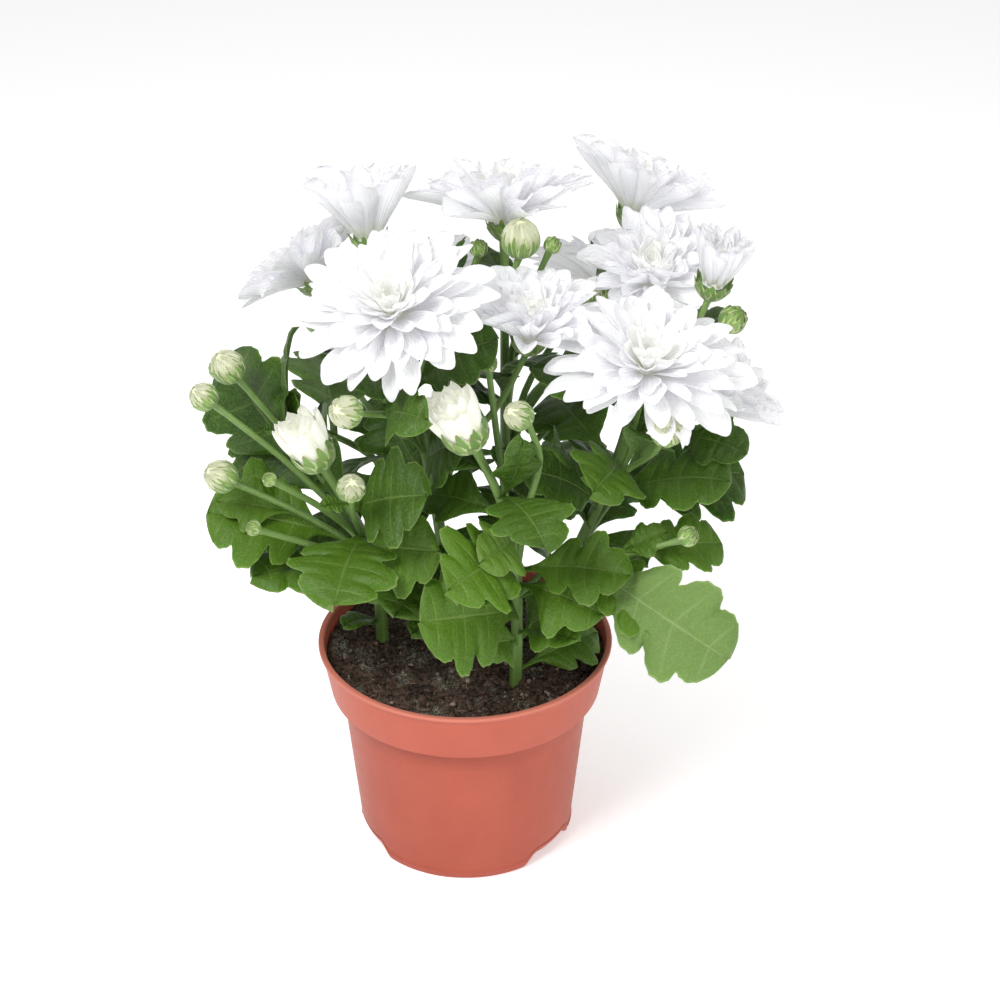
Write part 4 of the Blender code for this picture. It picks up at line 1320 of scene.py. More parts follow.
@dataclass
class SoilBed:
    """The peat: a crumbly top over a plain plug, with loose crumbs and fibres lying on it."""

    sides: int = 240
    rings: int = 110
    rim_r: float = 56.4
    crumbs: int = 1700
    crumb_sizes: tuple[float, float] = (0.45, 1.35)
    fibres: int = 260
    fibre_lengths: tuple[float, float] = (1.5, 6.0)
    fibre_bow: float = 1.4
    fibre_radii: tuple[float, float] = (0.08, 0.18)
    litter_r: float = 54.5
    seed: int = 41

    def surface(self, x: float, y: float) -> float:
        """The height of the fine surface.

        Args:
            x: The place to the right of the pot's axis, in millimetres.
            y: The place behind it.

        Returns:
            The height, in millimetres.
        """
        # Broad lumps, clods and grains, settled level along the wall.
        rough = noise.fractal(Vector((x, y, 3)) * 0.16, 0.9, 2.1, 5)
        clod = abs(noise.noise(Vector((x, y, 5)) * 0.42))
        grain = noise.noise(Vector((x, y, 9)) * 1.1)
        edge = smooth((math.hypot(x, y) - 50) / 6)
        even = soil_height(x, y) * (1 - edge) + (SOIL_Z - 0.6) * edge
        return even + 1.3 * rough + 1.7 * clod + 0.6 * grain - 0.4

    def build(self) -> list[bpy.types.Object]:
        """The plug with its top, and what lies on it."""
        inset = POT.wall + GAP
        maker = MeshMaker()
        low = [(0.0, inset), (POT.pocket_inner_r - 2 * inset, inset), (POT.base_r - inset - 1.2, 10.5)]
        low += [(POT.shoulder_r - inset - 0.2, POT.shoulder_z + 1.0)]
        low += [(collar_inside(z) - 2 * GAP, z) for z in (POT.shoulder_z + 3.4, SOIL_Z - 2.5)]
        top = [(self.rim_r * (1 - i / self.rings), SOIL_Z) for i in range(self.rings + 1)]
        maker.turned(low + top[:-1] + [(0.0, self.surface(0, 0))], self.sides, 0, shape=self.raised)
        plug = maker.build("peat_plug", [PeatFinish().make()])
        return [dress(plug, "peat", "soil"), self.litter()]

    def raised(self, turn: float, radius: float, height: float) -> tuple[float, float]:
        """Raises a point of the plug's top to the fine surface.

        Args:
            turn: The point's heading, in radians.
            radius: Its distance from the axis.
            height: Its height in the outline.

        Returns:
            The radius and the new height.
        """
        if height < SOIL_Z - 0.01 or radius == 0:
            return radius, height
        return radius, self.surface(radius * math.cos(turn), radius * math.sin(turn))

    def litter(self) -> bpy.types.Object:
        """Crumbs, fibres and a few pale bits on the surface."""
        draw = random.Random(self.seed)
        maker = MeshMaker()
        for _ in range(self.crumbs):
            x, y = self.spot(draw)
            size = draw.uniform(*self.crumb_sizes) ** 1.5
            shape = [(0.0, -0.7 * size), (0.75 * size, -0.35 * size), (size, 0.1 * size), (0.6 * size, 0.65 * size)]
            spin = draw.uniform(0, TAU)
            turn = Matrix.Rotation(spin, 4, Vector((draw.random(), draw.random(), draw.random() + 0.1)))
            squash = Matrix.Diagonal((1.0, draw.uniform(0.6, 1.0), draw.uniform(0.5, 0.9), 1.0))
            place = Matrix.Translation((x, y, self.surface(x, y) + 0.2 * size)) @ turn @ squash
            maker.turned(shape + [(0.0, 0.8 * size)], 6, 0, place, tone=draw.random() ** 4)
        for _ in range(self.fibres):
            x, y = self.spot(draw)
            heading, length = draw.uniform(0, TAU), draw.uniform(*self.fibre_lengths)
            bow = draw.uniform(-self.fibre_bow, self.fibre_bow)
            path = []
            for i in range(7):
                t = i / 6 - 0.5
                px = x + length * (t * math.cos(heading) - bow * t * t * math.sin(heading))
                py = y + length * (t * math.sin(heading) + bow * t * t * math.cos(heading))
                path.append(Vector((px, py, self.surface(px, py) + 0.3 + draw.uniform(0, 0.5))))
            radius = draw.uniform(*self.fibre_radii)
            maker.tube(path, [radius * (1 - abs(i / 3 - 1) * 0.5) for i in range(7)], 5, 1, tone=draw.random())
        made = maker.build("peat_litter", [PeatFinish().make(), FibreFinish().make()])
        return dress(made, "peat", "soil")

    def spot(self, draw: random.Random) -> tuple[float, float]:
        """A random place on the soil."""
        radius, turn = self.litter_r * math.sqrt(draw.random()), draw.uniform(0, TAU)
        return radius * math.cos(turn), radius * math.sin(turn)


# ---------------------------------------------------------------- leaves


# Rows of a large leaf's blade: share of the midrib, half width there as a share of the widest, and the
# share of the length that the margin reaches; between them the margin runs in a smooth curve.
LARGE_ROWS = (
    (0.0, 0.07, 0.0), (0.12, 0.07, 0.12), (0.20, 0.10, 0.21), (0.25, 0.18, 0.27), (0.30, 0.34, 0.335),
    (0.34, 0.56, 0.39), (0.38, 0.74, 0.44), (0.42, 0.83, 0.495), (0.455, 0.80, 0.545), (0.49, 0.64, 0.562),
    (0.52, 0.52, 0.565), (0.55, 0.60, 0.59), (0.585, 0.80, 0.63), (0.62, 0.95, 0.675), (0.655, 1.0, 0.73),
    (0.69, 0.96, 0.775), (0.725, 0.82, 0.80), (0.76, 0.66, 0.806), (0.79, 0.58, 0.812), (0.82, 0.62, 0.842),
    (0.855, 0.64, 0.88), (0.89, 0.58, 0.915), (0.925, 0.45, 0.948), (0.965, 0.26, 0.978), (1.0, 0.03, 1.0),
)
SMALL_ROWS = (
    (0.0, 0.09, 0.0), (0.14, 0.09, 0.14), (0.24, 0.14, 0.25), (0.33, 0.34, 0.37), (0.41, 0.64, 0.47),
    (0.49, 0.90, 0.555), (0.56, 1.0, 0.63), (0.62, 0.94, 0.68), (0.68, 0.72, 0.705), (0.73, 0.61, 0.74),
    (0.79, 0.65, 0.805), (0.85, 0.60, 0.87), (0.91, 0.46, 0.93), (0.96, 0.26, 0.972), (1.0, 0.03, 1.0),
)
# Where the blade starts on the midrib, and the share in which it reaches its full form.
BLADE_FROM = 0.24
BLADE_EASE = 0.06
# How much of a leaf's tone is random; the rest is painted light and shade from where it stands.
LEAF_TONE_RANGE = 0.4
# A low leaf that is rolled this far shows its pale lower face.
OVER_ROLL = 50
LOW_LEAF_Z = 150
# How far one row after another of the margin stands out, as a share of the half width: blunt, uneven teeth.
LEAF_TEETH = (0.0, 0.02, 0.03, 0.01, 0.0, 0.035, 0.015)


def through(rows: tuple[tuple[float, ...], ...], count: int) -> np.ndarray:
    """A smooth curve through rows of values, as count rows.

    Args:
        rows: The values to pass through.
        count: How many rows to give.

    Returns:
        The rows, spaced evenly along the given ones.
    """
    table = np.array(rows)
    padded = np.vstack([2 * table[0] - table[1], table, 2 * table[-1] - table[-2]])
    place = np.linspace(0, len(table) - 1, count)
    step = np.minimum(place.astype(int), len(table) - 2)
    t = (place - step)[:, None]
    p0, p1, p2, p3 = (padded[step + i] for i in range(4))
    return 0.5 * (2 * p1 + (p2 - p0) * t + (2 * p0 - 5 * p1 + 4 * p2 - p3) * t**2 + (3 * p1 - p0 - 3 * p2 + p3) * t**3)


@dataclass
class LeafBlade:
    """A lobed, toothed leaf with its petiole, as a closed sheet."""

    leaf: Leaf
    seed: str
    columns: int = 13
    large_rows: int = 61
    small_rows: int = 45
    thick: float = 0.62
    least_half: float = 0.8
    tip_half: float = 0.35
    quilting: float = 0.55
    groove: float = 0.28
    usual_length: float = 44.0

    def add_to(self, maker: MeshMaker, looks: tuple[int, int]) -> None:
        """Adds the blade to a mesh.

        Args:
            maker: The mesh.
            looks: The materials of the upper and the lower face.
        """
        draw = random.Random(self.seed)
        frame = LeafFrame(self.leaf)
        length = frame.along.length
        large = length > SMALL_LEAF
        table = through(LARGE_ROWS, self.large_rows) if large else through(SMALL_ROWS, self.small_rows)
        s, share, margin = (table[:, k : k + 1] for k in range(3))
        blade = np.clip((s - BLADE_FROM) / BLADE_EASE, 0, 1)
        teeth = np.array([LEAF_TEETH[i % len(LEAF_TEETH)] for i in range(len(table))])[:, None]
        # A lower power fills the bays between the lobes, a higher one cuts them deeper.
        share = np.maximum(share, 0.02) ** draw.uniform(0.65, 1.2) * (1 + teeth * blade)
        half = np.maximum(self.least_half, share * self.leaf.width * length / 2)
        half[-1] = self.tip_half
        across = np.linspace(-1, 1, self.columns)[None, :]
        # One half reaches a little further than the other, both along and across.
        lean = draw.uniform(-0.06, 0.06)
        place = s + (margin - s) * np.abs(across) * (1 + lean * np.sign(across) * blade)
        reach = across * half * (1 + 0.5 * lean * np.sign(across) * blade)
        # Folded up along the midrib, quilted between the side veins, waved, and drooping at margin and tip.
        rise = LEAF_FOLD * np.abs(reach) * (1 - 0.35 * np.abs(across) ** 2)
        vein = np.abs(((s - 0.42) / 0.12) % 1 - 0.5) * 2
        rise = rise + blade * self.quilting * np.sin(np.pi * np.clip(np.abs(across), 0, 1)) * (1 - vein)
        wave = np.sin(draw.uniform(8, 12) * s + draw.uniform(0, TAU)) * np.sign(across) * across**2
        rise = rise + blade * wave * draw.uniform(0.8, 2.0) * length / self.usual_length
        droop = blade * np.abs(across) ** 3 * draw.uniform(0.0, 1.6) * length / self.usual_length
        tip_droop = draw.uniform(0.0, 0.05) * length * np.clip((place - 0.7) / 0.3, 0, 1) ** 2
        rise = rise - droop - tip_droop
        centre = np.array(self.leaf.base)[None, None] + place[..., None] * np.array(frame.along)
        lift = 4 * self.leaf.arch * length * place * (1 - place) + rise
        points = centre + reach[..., None] * np.array(frame.side) + lift[..., None] * np.array(frame.over)
        # Thickest at the midrib and along the petiole, where the groove runs.
        body = np.sqrt(np.clip(1 - across**2, 0, 1)) * (self.thick + 1.1 * (1 - blade)) / 2
        groove = self.groove * blade * np.clip(1 - np.abs(across) * 7, 0, 1)
        up = np.array(frame.over)
        top = points + (body - groove)[..., None] * up
        bottom = points - (body + 1.5 * groove)[..., None] * up
        # Painted shade: the high leaves, under the blooms, are the darkest, so little is left to chance there.
        high = smooth((self.leaf.tip.z - 160) / 50)
        tone = LEAF_TONE_RANGE * draw.random() * (1 - 0.75 * high) + (1 - LEAF_TONE_RANGE) * self.light()
        maker.sheet(top, bottom, np.stack(np.broadcast_arrays(across, s, tone), axis=-1), looks)

    def light(self) -> float:
        """Painted light: how pale the leaf is from where it stands, from 0 to 1; the low leaves in front are the
        palest.
        """
        front = min(1.0, max(0.0, (10 - self.leaf.tip.y) / 70))
        low = min(1.0, max(0.0, (200 - self.leaf.tip.z) / 90))
        return front * (0.25 + 0.75 * low)


# ---------------------------------------------------------------- petals, bracts and heads


# Runs along a petal's middle line, then its mesh's runs along and points across, and how deep its grooves are.
PETAL_STEPS = 24
PETAL_ROWS = 10
PETAL_COLUMNS = 9
PETAL_GROOVE = 0.10
WRAP_ROWS = 9
WRAP_COLUMNS = 7

# A half-open bud's rings of petals: count, elevation, bend, length as a share of the bud, and where they root.
OPENING_RINGS = (
    (8, 82, -16, 0.96, 0.86), (7, 86, -20, 0.98, 0.62), (6, 88, -18, 0.94, 0.40), (4, 90, -12, 0.90, 0.16)
)
# A closed bud's layers of petals, the innermost first: count, and how far up the bud they reach.
CLOSED_LAYERS = ((6, 1.0), (8, 0.985), (9, 0.90))
# How far up each layer of bracts reaches.
BRACT_TOPS = {
    Kind.BLOOM: (0.66, 0.84, 1.0),
    Kind.HALF: (0.55, 0.78, 1.0),
    Kind.BUD: (0.56, 0.68, 0.80),
    Kind.GREEN: (0.66, 0.86, 1.0),
}

@dataclass(frozen=True)
class Petal:
    """One petal or bract that stands out of a head, in the head's own frame."""

    turn: float
    root_r: float
    root_z: float
    elevation: float
    bend: float
    length: float
    width: float
    cup: float
    root_share: float = 0.24
    thick: float = 0.45
    sway: float = 0.0
    twist: float = 0.0
    tone: float = 0.5
    point: float = 0.44

    def add_to(self, maker: MeshMaker, place: Matrix, looks: tuple[int, int]) -> None:
        """Adds the petal to a mesh.

        Args:
            maker: The mesh.
            place: The head's frame.
            looks: The materials of the upper and the lower face.
        """
        steps = np.linspace(0, 1, PETAL_STEPS + 1)
        slopes = np.radians(self.elevation + self.bend * (0.5 - steps))
        mean = (slopes[1:] + slopes[:-1]) / 2
        outs = np.concatenate([[0], np.cumsum(np.cos(mean)) / PETAL_STEPS]) * self.length
        ups = np.concatenate([[0], np.cumsum(np.sin(mean)) / PETAL_STEPS]) * self.length
        t = (np.linspace(0, 1, PETAL_ROWS + 1) ** 0.85)[:, None]
        across = np.linspace(-1, 1, PETAL_COLUMNS)[None, :]
        # The outline: narrow at the root, widest at WIDEST_AT, then drawn in and rounded off at the tip.
        past = np.clip((t - WIDEST_AT) / (1 - WIDEST_AT), 0, 1)
        early = np.clip(t / WIDEST_AT, 0, 1)
        share = self.root_share + (1 - self.root_share) * (early * early * (3 - 2 * early)) ** 0.8
        half = self.width / 2 * np.where(t > WIDEST_AT, 1 - self.point * past**2.4, share)
        place_t = t - 0.26 * self.width / self.length * past**2 * across**2
        out = np.interp(place_t, steps, outs)
        up = np.interp(place_t, steps, ups)
        slope = np.interp(place_t, steps, slopes)
        # Across the petal: cupped most halfway up, grooved along its length, and twisted towards the tip.
        grooves = PETAL_GROOVE * np.cos(2.5 * TAU / 2 * across * 1.6) * np.sin(np.pi * t)
        curl = self.cup * half * (across**2 - 0.35) * np.sin(np.pi * (0.2 + 0.42 * t)) + grooves
        curl = curl + self.twist * half * across * t
        wide = half * across * (1 - 0.12 * self.cup) + self.sway * self.length * t**2
        body = self.thick / 2 * np.sqrt(np.clip(1 - across**2, 0, 1)) * (1 - 0.5 * t)
        grids = []
        for off in (body, -body):
            x = self.root_r + out - np.sin(slope) * (curl + off)
            z = self.root_z + up + np.cos(slope) * (curl + off)
            grids.append(np.stack(np.broadcast_arrays(x, -wide, z), axis=-1))
        maker.placed_sheet(grids, (across, t, self.tone), place @ Matrix.Rotation(self.turn, 4, "Z"), looks)


@dataclass(frozen=True)
class Wrap:
    """A petal or bract that lies close against a turned form."""

    turn: float
    spread: float
    low: float
    high: float
    lift: float
    skew: float
    thick: float = 0.36
    tone: float = 0.5
    ridge: float = 0.10

    def add_to(self, maker: MeshMaker, place: Matrix, outline: Outline, looks: tuple[int, int]) -> None:
        """Adds the piece to a mesh.

        Args:
            maker: The mesh.
            place: The head's frame.
            outline: The form's (radius, height) points, from low to high.
            looks: The materials of the outer and the inner face.
        """
        radii, heights = np.array(outline).T
        run = np.concatenate([[0], np.cumsum(np.hypot(np.diff(radii), np.diff(heights)))])
        run = run / run[-1]
        # Rows run along the form's outline, further up in the middle than at the sides.
        t = (np.linspace(0, 1, WRAP_ROWS + 1) ** 0.9)[:, None]
        across = np.linspace(-1, 1, WRAP_COLUMNS)[None, :]
        at = self.low + (self.high - self.low) * (t - 0.16 * t**3 * across**2)
        radius = np.interp(at, run, radii)
        height = np.interp(at, run, heights)
        width = self.spread * (0.75 + 0.25 * np.sin(np.pi * np.clip(t * 1.1, 0, 1))) * np.sqrt(1 - (0.93 * t) ** 4)
        turns = self.turn + width * across + self.skew * t
        # It stands off the form, more so towards its tip and along its middle.
        off = self.lift * (0.4 + 0.6 * t) + self.ridge * (1 - across**2)
        body = self.thick / 2 * np.sqrt(np.clip(1 - across**2, 0, 1))
        grids = []
        for side in (body, -body):
            reach = np.maximum(radius + off + side, 0.02)
            grid = np.stack([reach * np.cos(turns), reach * np.sin(turns), height + (off + side) * at], axis=-1)
            grids.append(grid[:, ::-1])
        maker.placed_sheet(grids, (across[:, ::-1], t, self.tone), place, looks)


class Ring(NamedTuple):
    """A ring of petals: how far in it is from 0 to 1, the petals' mean form, and where they root."""

    inward: float
    elevation: float
    bend: float
    length: float
    width: float
    root_r: float
    root_z: float


def bloom_rings(size: float, openness: float) -> Iterator[Ring]:
    """A bloom's rings of petals, the outermost first.

    Args:
        size: The bloom's size, which is the length of its longest petals.
        openness: How far it is open, up to 1.

    Returns:
        One ring after another.
    """
    outer = outer_elevation(openness)
    flare = 34 - 40 * (1 - openness) ** 2
    broad = FINE_PETAL_WIDTH * (1 + 0.36 * smooth((0.9 - openness) / 0.25))
    for k in range(RING_COUNT):
        u = k / (RING_COUNT - 1)
        elevation = outer + (FINE_EYE_ELEVATION - outer) * u**1.05
        length = size * (1 - (1 - FINE_EYE_SHARE) * u**1.1)
        width = size * broad * (1 - 0.30 * u)
        yield Ring(u, elevation, flare * (1 - u) - 26 * u, length, width, 5.4 - 3.8 * u, 0.8 + 5.6 * u)


@dataclass
class Bloom:
    """A double bloom: rings of petals round an eye of small florets."""

    name: str

    OUTER_LOOKS = (0, 1)
    INNER_LOOKS = (3, 3)
    FLORET_LOOK = 2

    def build(self, finishes: list[bpy.types.Material]) -> bpy.types.Object:
        """The bloom.

        Args:
            finishes: The petals' upper and lower faces, the florets, and the inner petals.

        Returns:
            The object.
        """
        head = HEADS[self.name]
        place, draw, maker = head_matrix(head), random.Random(self.name), MeshMaker()
        low = CALYX_HEIGHT + GAP
        core = [(0.0, low), (0.7 * CORE_R, low), (0.66 * CORE_R, low + 2.5), (0.45 * CORE_R, low + 6), (0.0, low + 7)]
        maker.turned(core, 24, 0, place, tone=0.5)
        for ring in bloom_rings(head.size, head.openness):
            out, _, _ = petal_line(ring.elevation, ring.bend, ring.length, MID_PETAL)
            count = min(MOST_PETALS, int(TAU * (ring.root_r + out) / (PETAL_OVERLAP * ring.width)))
            phase = draw.random() * TAU
            looks = self.OUTER_LOOKS if ring.inward < INNER_FROM else self.INNER_LOOKS
            for i in range(count):
                turn = phase + TAU * i / count
                self.petal(draw, ring, turn, low, head.openness).add_to(maker, place, looks)
        self.eye(maker, place, draw, head)
        made = maker.build("petals_" + self.name.removeprefix("bloom_"), finishes)
        return dress(made, "petal_white", self.name)

    @staticmethod
    def petal(draw: random.Random, ring: Ring, turn: float, low: float, openness: float) -> Petal:
        """One petal of a ring.

        Args:
            draw: Makes it differ a little from its neighbours.
            ring: Its ring.
            turn: Its place in the ring, in radians.
            low: The height of the bloom's core over its shoot.
            openness: How far the bloom is open.

        Returns:
            The petal.
        """
        turn += draw.uniform(-0.07, 0.07)
        grow = draw.uniform(0.88, 1.06)
        return Petal(
            turn,
            ring.root_r - 1,
            low + ring.root_z,
            ring.elevation + draw.uniform(-9, 8),
            ring.bend + draw.uniform(-14, 12),
            ring.length * grow + 1,
            ring.width * draw.uniform(0.82, 1.14),
            min(0.8, 0.30 + 0.25 * ring.inward + 1.1 * (1 - openness)),
            sway=draw.uniform(-0.07, 0.07),
            twist=draw.uniform(-0.6, 0.6),
            tone=draw.random(),
        )

    @staticmethod
    def eye(maker: MeshMaker, place: Matrix, draw: random.Random, head: Head) -> None:
        """Adds the small yellow-green florets in the middle.

        Args:
            maker: The mesh to add to.
            place: The head's frame.
            draw: The source of the small differences.
            head: The bloom.
        """
        top = CALYX_HEIGHT + GAP + 6
        for i in range(FLORETS):
            share = math.sqrt((i + 0.5) / FLORETS)
            turn = i * math.radians(LEAF_TURN_DEG)
            foot = Vector((EYE_R * share * math.cos(turn), EYE_R * share * math.sin(turn), top - 1.0 * share))
            rise = head.size * (0.10 + 0.06 * draw.random())
            tip = foot + Vector((foot.x * 0.25, foot.y * 0.25, rise))
            path = [place @ foot.lerp(tip, t) for t in (0, 0.5, 0.8, 1)]
            maker.tube(path, [0.45, 0.7, 0.75, 0.3], 6, Bloom.FLORET_LOOK, tone=draw.random())


@dataclass
class Bud:
    """The pale part of a bud: closed petals over a dome, or the upright petals of a half-open one."""

    name: str

    def build(self, finishes: list[bpy.types.Material]) -> bpy.types.Object:
        """The bud.

        Args:
            finishes: The outer and the inner faces of its petals.

        Returns:
            The object.
        """
        head = HEADS[self.name]
        place, draw, maker = head_matrix(head), random.Random(self.name), MeshMaker()
        if head.kind is Kind.BUD:
            self.closed(maker, place, draw, head.size)
        else:
            self.opening(maker, place, draw, head.size)
        made = maker.build("cream_" + self.name.removeprefix("bud_"), finishes)
        return dress(made, "bud_cream", self.name)

    @staticmethod
    def closed(maker: MeshMaker, place: Matrix, draw: random.Random, size: float) -> None:
        """Adds overlapping petals over a dome.

        Args:
            maker: The mesh to add to.
            place: The head's frame.
            draw: The source of the small differences.
            size: The bud's radius.
        """
        dome = bud_dome(size)
        maker.turned([(0.0, 0.7 * size)] + dome[3:], 20, 0, place, tone=0.4)
        for layer, (count, high) in enumerate(CLOSED_LAYERS):
            phase = draw.random() * TAU
            for i in range(count):
                turn = phase + TAU * i / count + draw.uniform(-0.1, 0.1)
                rise = high - draw.uniform(0, 0.04)
                wrap = Wrap(turn, 0.36, 0.42, rise, 0.06 * layer, 0.3, tone=draw.random(), ridge=0.075 * size)
                wrap.add_to(maker, place, dome, (0, 1))

    @staticmethod
    def opening(maker: MeshMaker, place: Matrix, draw: random.Random, size: float) -> None:
        """Adds a tuft of upright petals.

        Args:
            maker: The mesh to add to.
            place: The head's frame.
            draw: The source of the small differences.
            size: The bud's height.
        """
        low, radius = 5 + GAP, 0.34 * size
        core = [(0.0, low), (radius * 0.85, low), (radius * 0.9, 0.40 * size), (0.45 * radius, 0.62 * size)]
        maker.turned(core + [(0.0, 0.66 * size)], 20, 0, place, tone=0.4)
        for ring, (count, elevation, bend, reach, root) in enumerate(OPENING_RINGS):
            phase = draw.random() * TAU
            for i in range(count):
                petal = Petal(
                    phase + TAU * i / count + draw.uniform(-0.08, 0.08),
                    radius * root,
                    low + 1.5 + ring * 0.5,
                    elevation + draw.uniform(-3, 2),
                    bend + draw.uniform(-5, 5),
                    size * reach * draw.uniform(0.82, 1.03) - 3,
                    0.33 * size,
                    0.62,
                    root_share=0.72,
                    sway=draw.uniform(-0.05, 0.05),
                    tone=draw.random(),
                    point=0.74,
                )
                petal.add_to(maker, place, (0, 1))


def bud_dome(size: float) -> Outline:
    """The whole outline of a closed bud of a radius, from its stalk to its top.

    Args:
        size: The radius.

    Returns:
        The radii and heights of the outline.
    """
    turns = [math.radians(-72 + 162 * i / 14) for i in range(15)]
    middle, tall = 0.78 * size, 1.17 * size
    dome = [(0.94 * size * math.cos(a), middle + (tall if a > 0 else 0.9 * size) * math.sin(a)) for a in turns]
    return dome[:-1] + [(0.0, dome[-1][1])]


def cup_outline(head: Head) -> Outline:
    """The form that a head's bracts lie against, from its stalk upwards.

    Args:
        head: The head.

    Returns:
        The radii and heights of the outline.
    """
    size = head.size
    if head.kind is Kind.BLOOM:
        return [(1.3, -2.6), (3.2, -1.4), (4.8, 0.2), (6.2, 2.2), (CALYX_R + 0.1, CALYX_HEIGHT), (CALYX_R + 1.2, 7.5)]
    if head.kind is Kind.HALF:
        shares = ((0.18, -0.6), (0.29, 1.4), (0.35, 4.6))
        cup = [(1.3, -2.2)] + [(share * size, z) for share, z in shares]
        return cup + [(0.37 * size, 0.42 * size), (0.36 * size, 0.62 * size)]
    return bud_dome(size)


@dataclass
class Foliage:
    """A main stem with its side shoots, leaves, calyxes and green buds."""

    stem: str
    leaves: list[Leaf]

    LOOKS = {"stem": 0, "top": 1, "under": 2, "bract": 3}

    def build(self, finishes: list[bpy.types.Material]) -> bpy.types.Object:
        """The foliage.

        Args:
            finishes: Stem, upper leaf, lower leaf and bract.

        Returns:
            The object.
        """
        maker = MeshMaker()
        for name, head in HEADS.items():
            if head.stem == self.stem:
                self.shoot(maker, name, head)
                self.bracts(maker, name, head)
        for number, leaf in enumerate(self.leaves):
            faces = (self.LOOKS["top"], self.LOOKS["under"])
            turned_over = leaf.roll >= OVER_ROLL and leaf.tip.z < LOW_LEAF_Z
            LeafBlade(leaf, f"{self.stem} {number}").add_to(maker, faces[::-1] if turned_over else faces)
        made = maker.build("foliage_" + self.stem, finishes)
        return dress(made, "leaf_green", "leafy_stem_" + self.stem)

    def shoot(self, maker: MeshMaker, name: str, head: Head) -> None:
        """Adds a stem or side shoot, its corners rounded.

        Args:
            maker: The mesh to add to.
            name: The name of the head that it carries.
            head: That head.
        """
        main = head.fork == 0
        rings, ease = (40, 0.05) if main else (16, 0.07)
        path, radii = [], []
        for i in range(rings + 1):
            t = i / rings
            near = min(ease, t, 1 - t)
            path.append((on_shoot(name, t - near) + on_shoot(name, t) + on_shoot(name, t + near)) / 3)
            radius = STEM_R + (SHOOT_R * 1.3 - STEM_R) * t if main else SHOOT_R * (1.25 - 0.25 * t)
            radii.append(radius * (1 + 0.35 * smooth((t - 0.93) / 0.07)))
        maker.tube(path, radii, 15, self.LOOKS["stem"], rib=0.07, tone=0.5)

    def bracts(self, maker: MeshMaker, name: str, head: Head) -> None:
        """Adds the cup under a head and the bracts that cover it.

        Args:
            maker: The mesh to add to.
            name: The head's name.
            head: The head.
        """
        place, draw, cup = head_matrix(head), random.Random("bracts " + name), cup_outline(head)
        whole = head.kind is Kind.GREEN
        solid = cup if whole else [(r, z) for r, z in cup if z < 0.8 * head.size or head.kind is not Kind.BUD]
        if head.kind in (Kind.BLOOM, Kind.HALF):
            solid = cup[:-1] if head.kind is Kind.BLOOM else cup[:4]
        look = self.LOOKS["bract"]
        lid = [] if whole else [(0.0, solid[-1][1])]
        maker.turned([(0.0, solid[0][1] - 0.4)] + solid + lid, 20, look, place, tone=0.3)
        spread = {Kind.GREEN: 0.6, Kind.BUD: 0.27}.get(head.kind, 0.42)
        count = 6 if whole else 9
        ridge = 0.25 if head.kind is Kind.BUD else 0.1
        for layer, high in enumerate(reversed(BRACT_TOPS[head.kind])):
            for i in range(count):
                turn = TAU * (i + layer / 3) / count + draw.uniform(-0.06, 0.06)
                rise = high * draw.uniform(0.94, 1.0)
                lift = 0.15 + 0.2 * layer
                wrap = Wrap(turn, spread, 0.04, rise, lift, 0.0, thick=0.3, tone=draw.random(), ridge=ridge)
                wrap.add_to(maker, place, cup, (look, look))


# ---------------------------------------------------------------- studio


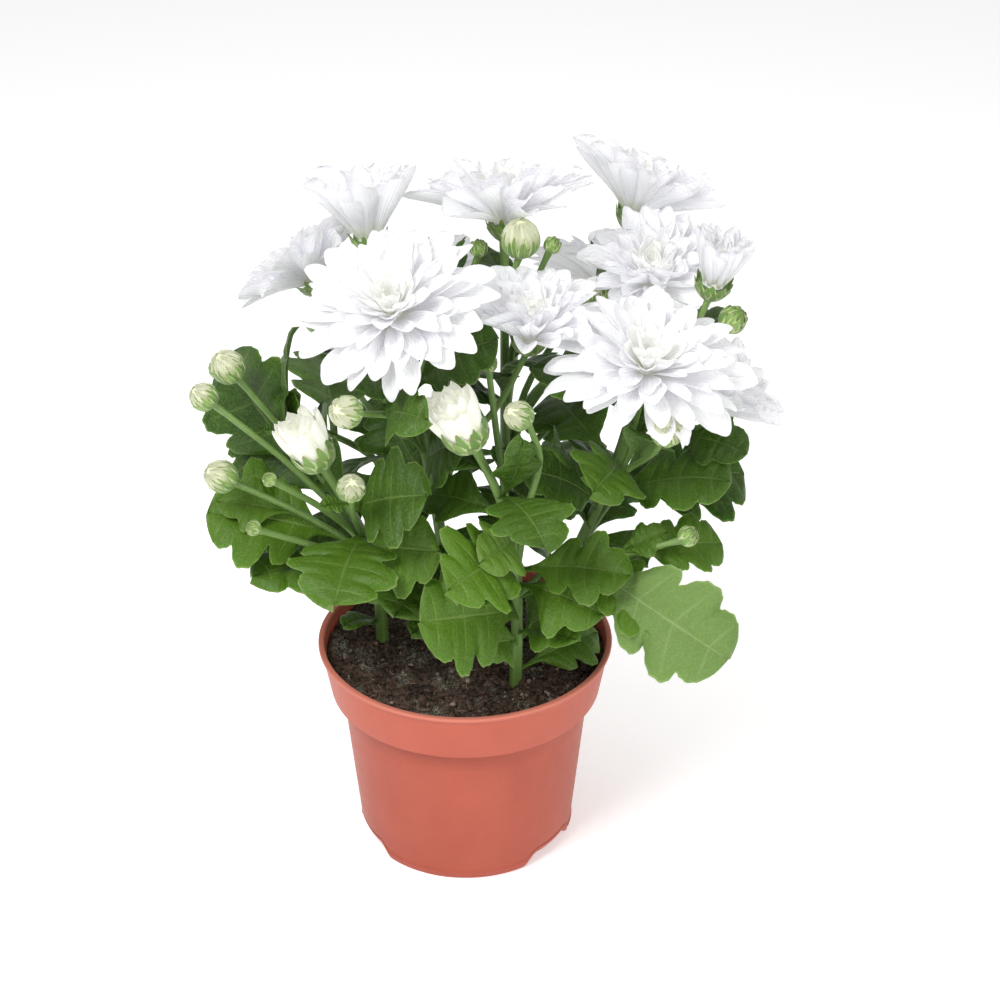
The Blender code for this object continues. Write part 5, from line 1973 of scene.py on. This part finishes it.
@dataclass(frozen=True)
class Studio:
    """A white cove, soft light from above and the left, and the camera that the layout was fitted to."""

    eye: Point = (14.2, -856.5, 651.5)
    target: Point = (14.2, 0.0, 155.0)
    lens: float = 90.0
    film: float = 36.0
    # Each light's place and size in millimetres, and its power in watts.
    lights: tuple[tuple[str, Point, float, float], ...] = (
        ("key", (-420, -520, 900), 440, 7.9),
        ("fill", (520, -760, 420), 600, 3.4),
        ("top", (40, 160, 980), 600, 2.0),
    )
    room_light: float = 0.46
    floor_glow: float = 0.36
    floor_reach: float = 40.0

    def build(self) -> None:
        """Makes the floor, the lights, the world and the camera."""
        self.floor()
        self.world()
        for light in self.lights:
            self.area(*light)
        self.camera()

    def floor(self) -> None:
        """A wide white floor, which isn't part of the plant."""
        mesh = bpy.data.meshes.new("floor")
        corners = ((-1, -1), (1, -1), (1, 1), (-1, 1))
        mesh.from_pydata([(self.floor_reach * x, self.floor_reach * y, 0) for x, y in corners], [], [(0, 1, 2, 3)])
        floor = bpy.data.objects.new("studio_floor", mesh)
        sheet = Sheet(
            "studio_white", Base_Color=(0.93, 0.93, 0.93, 1), Roughness=0.9, Specular_IOR_Level=0.1,
            Emission_Color=(1, 1, 1, 1), Emission_Strength=self.floor_glow,
        )
        mesh.materials.append(sheet.material)
        bpy.context.scene.collection.objects.link(floor)

    def world(self) -> None:
        """Even white surroundings."""
        world = bpy.data.worlds.new("white_room")
        world.use_nodes = True
        background = world.node_tree.nodes["Background"]
        background.inputs["Color"].default_value = (1, 1, 1, 1)
        background.inputs["Strength"].default_value = self.room_light
        bpy.context.scene.world = world
        bpy.context.scene.view_settings.view_transform = "Standard"

    def area(self, name: str, place: Point, size: float, power: float) -> None:
        """A square soft light that faces the plant.

        Args:
            name: The light's name.
            place: Where it stands, in millimetres.
            size: Its side, in millimetres.
            power: Its power, in watts.
        """
        light = bpy.data.lights.new(name, "AREA")
        light.size, light.energy = size * MM, power
        lamp = bpy.data.objects.new(name, light)
        lamp.location = Vector(place) * MM
        lamp.rotation_euler = self.facing(place)
        bpy.context.scene.collection.objects.link(lamp)

    def facing(self, place: Point) -> Euler:
        """The rotation that turns a lamp or camera at a place to the target."""
        return (Vector(self.target) - Vector(place)).to_track_quat("-Z", "Y").to_euler()

    def camera(self) -> None:
        """The camera in front of and above the plant."""
        lens = bpy.data.cameras.new("front_camera")
        lens.lens, lens.sensor_width, lens.clip_start = self.lens, self.film, 0.01
        camera = bpy.data.objects.new("front_camera", lens)
        camera.location = Vector(self.eye) * MM
        camera.rotation_euler = self.facing(self.eye)
        bpy.context.scene.collection.objects.link(camera)
        bpy.context.scene.camera = camera


def main() -> None:
    """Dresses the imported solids."""
    logging.basicConfig(level=logging.INFO, format="%(message)s")
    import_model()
    PotBody().build()
    SoilBed().build()
    greens = [StemFinish().make(), LEAF_TOP.make(), LEAF_UNDER.make(), BractFinish().make()]
    for stem, leaves in all_leaves().items():
        Foliage(stem, leaves).build(greens)
    whites = [PETAL_TOP.make(), PETAL_UNDER.make(), FLORET.make(), INNER_PETAL.make()]
    creams = {Kind.HALF: [CREAM_PETAL.make()] * 2, Kind.BUD: [BUD_PETAL.make()] * 2}
    for name, head in HEADS.items():
        if head.kind is Kind.BLOOM:
            Bloom(name).build(whites)
        elif head.kind is not Kind.GREEN:
            Bud(name).build(creams[head.kind])
    Studio().build()
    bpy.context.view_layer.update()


if __name__ == "__main__":
    main()
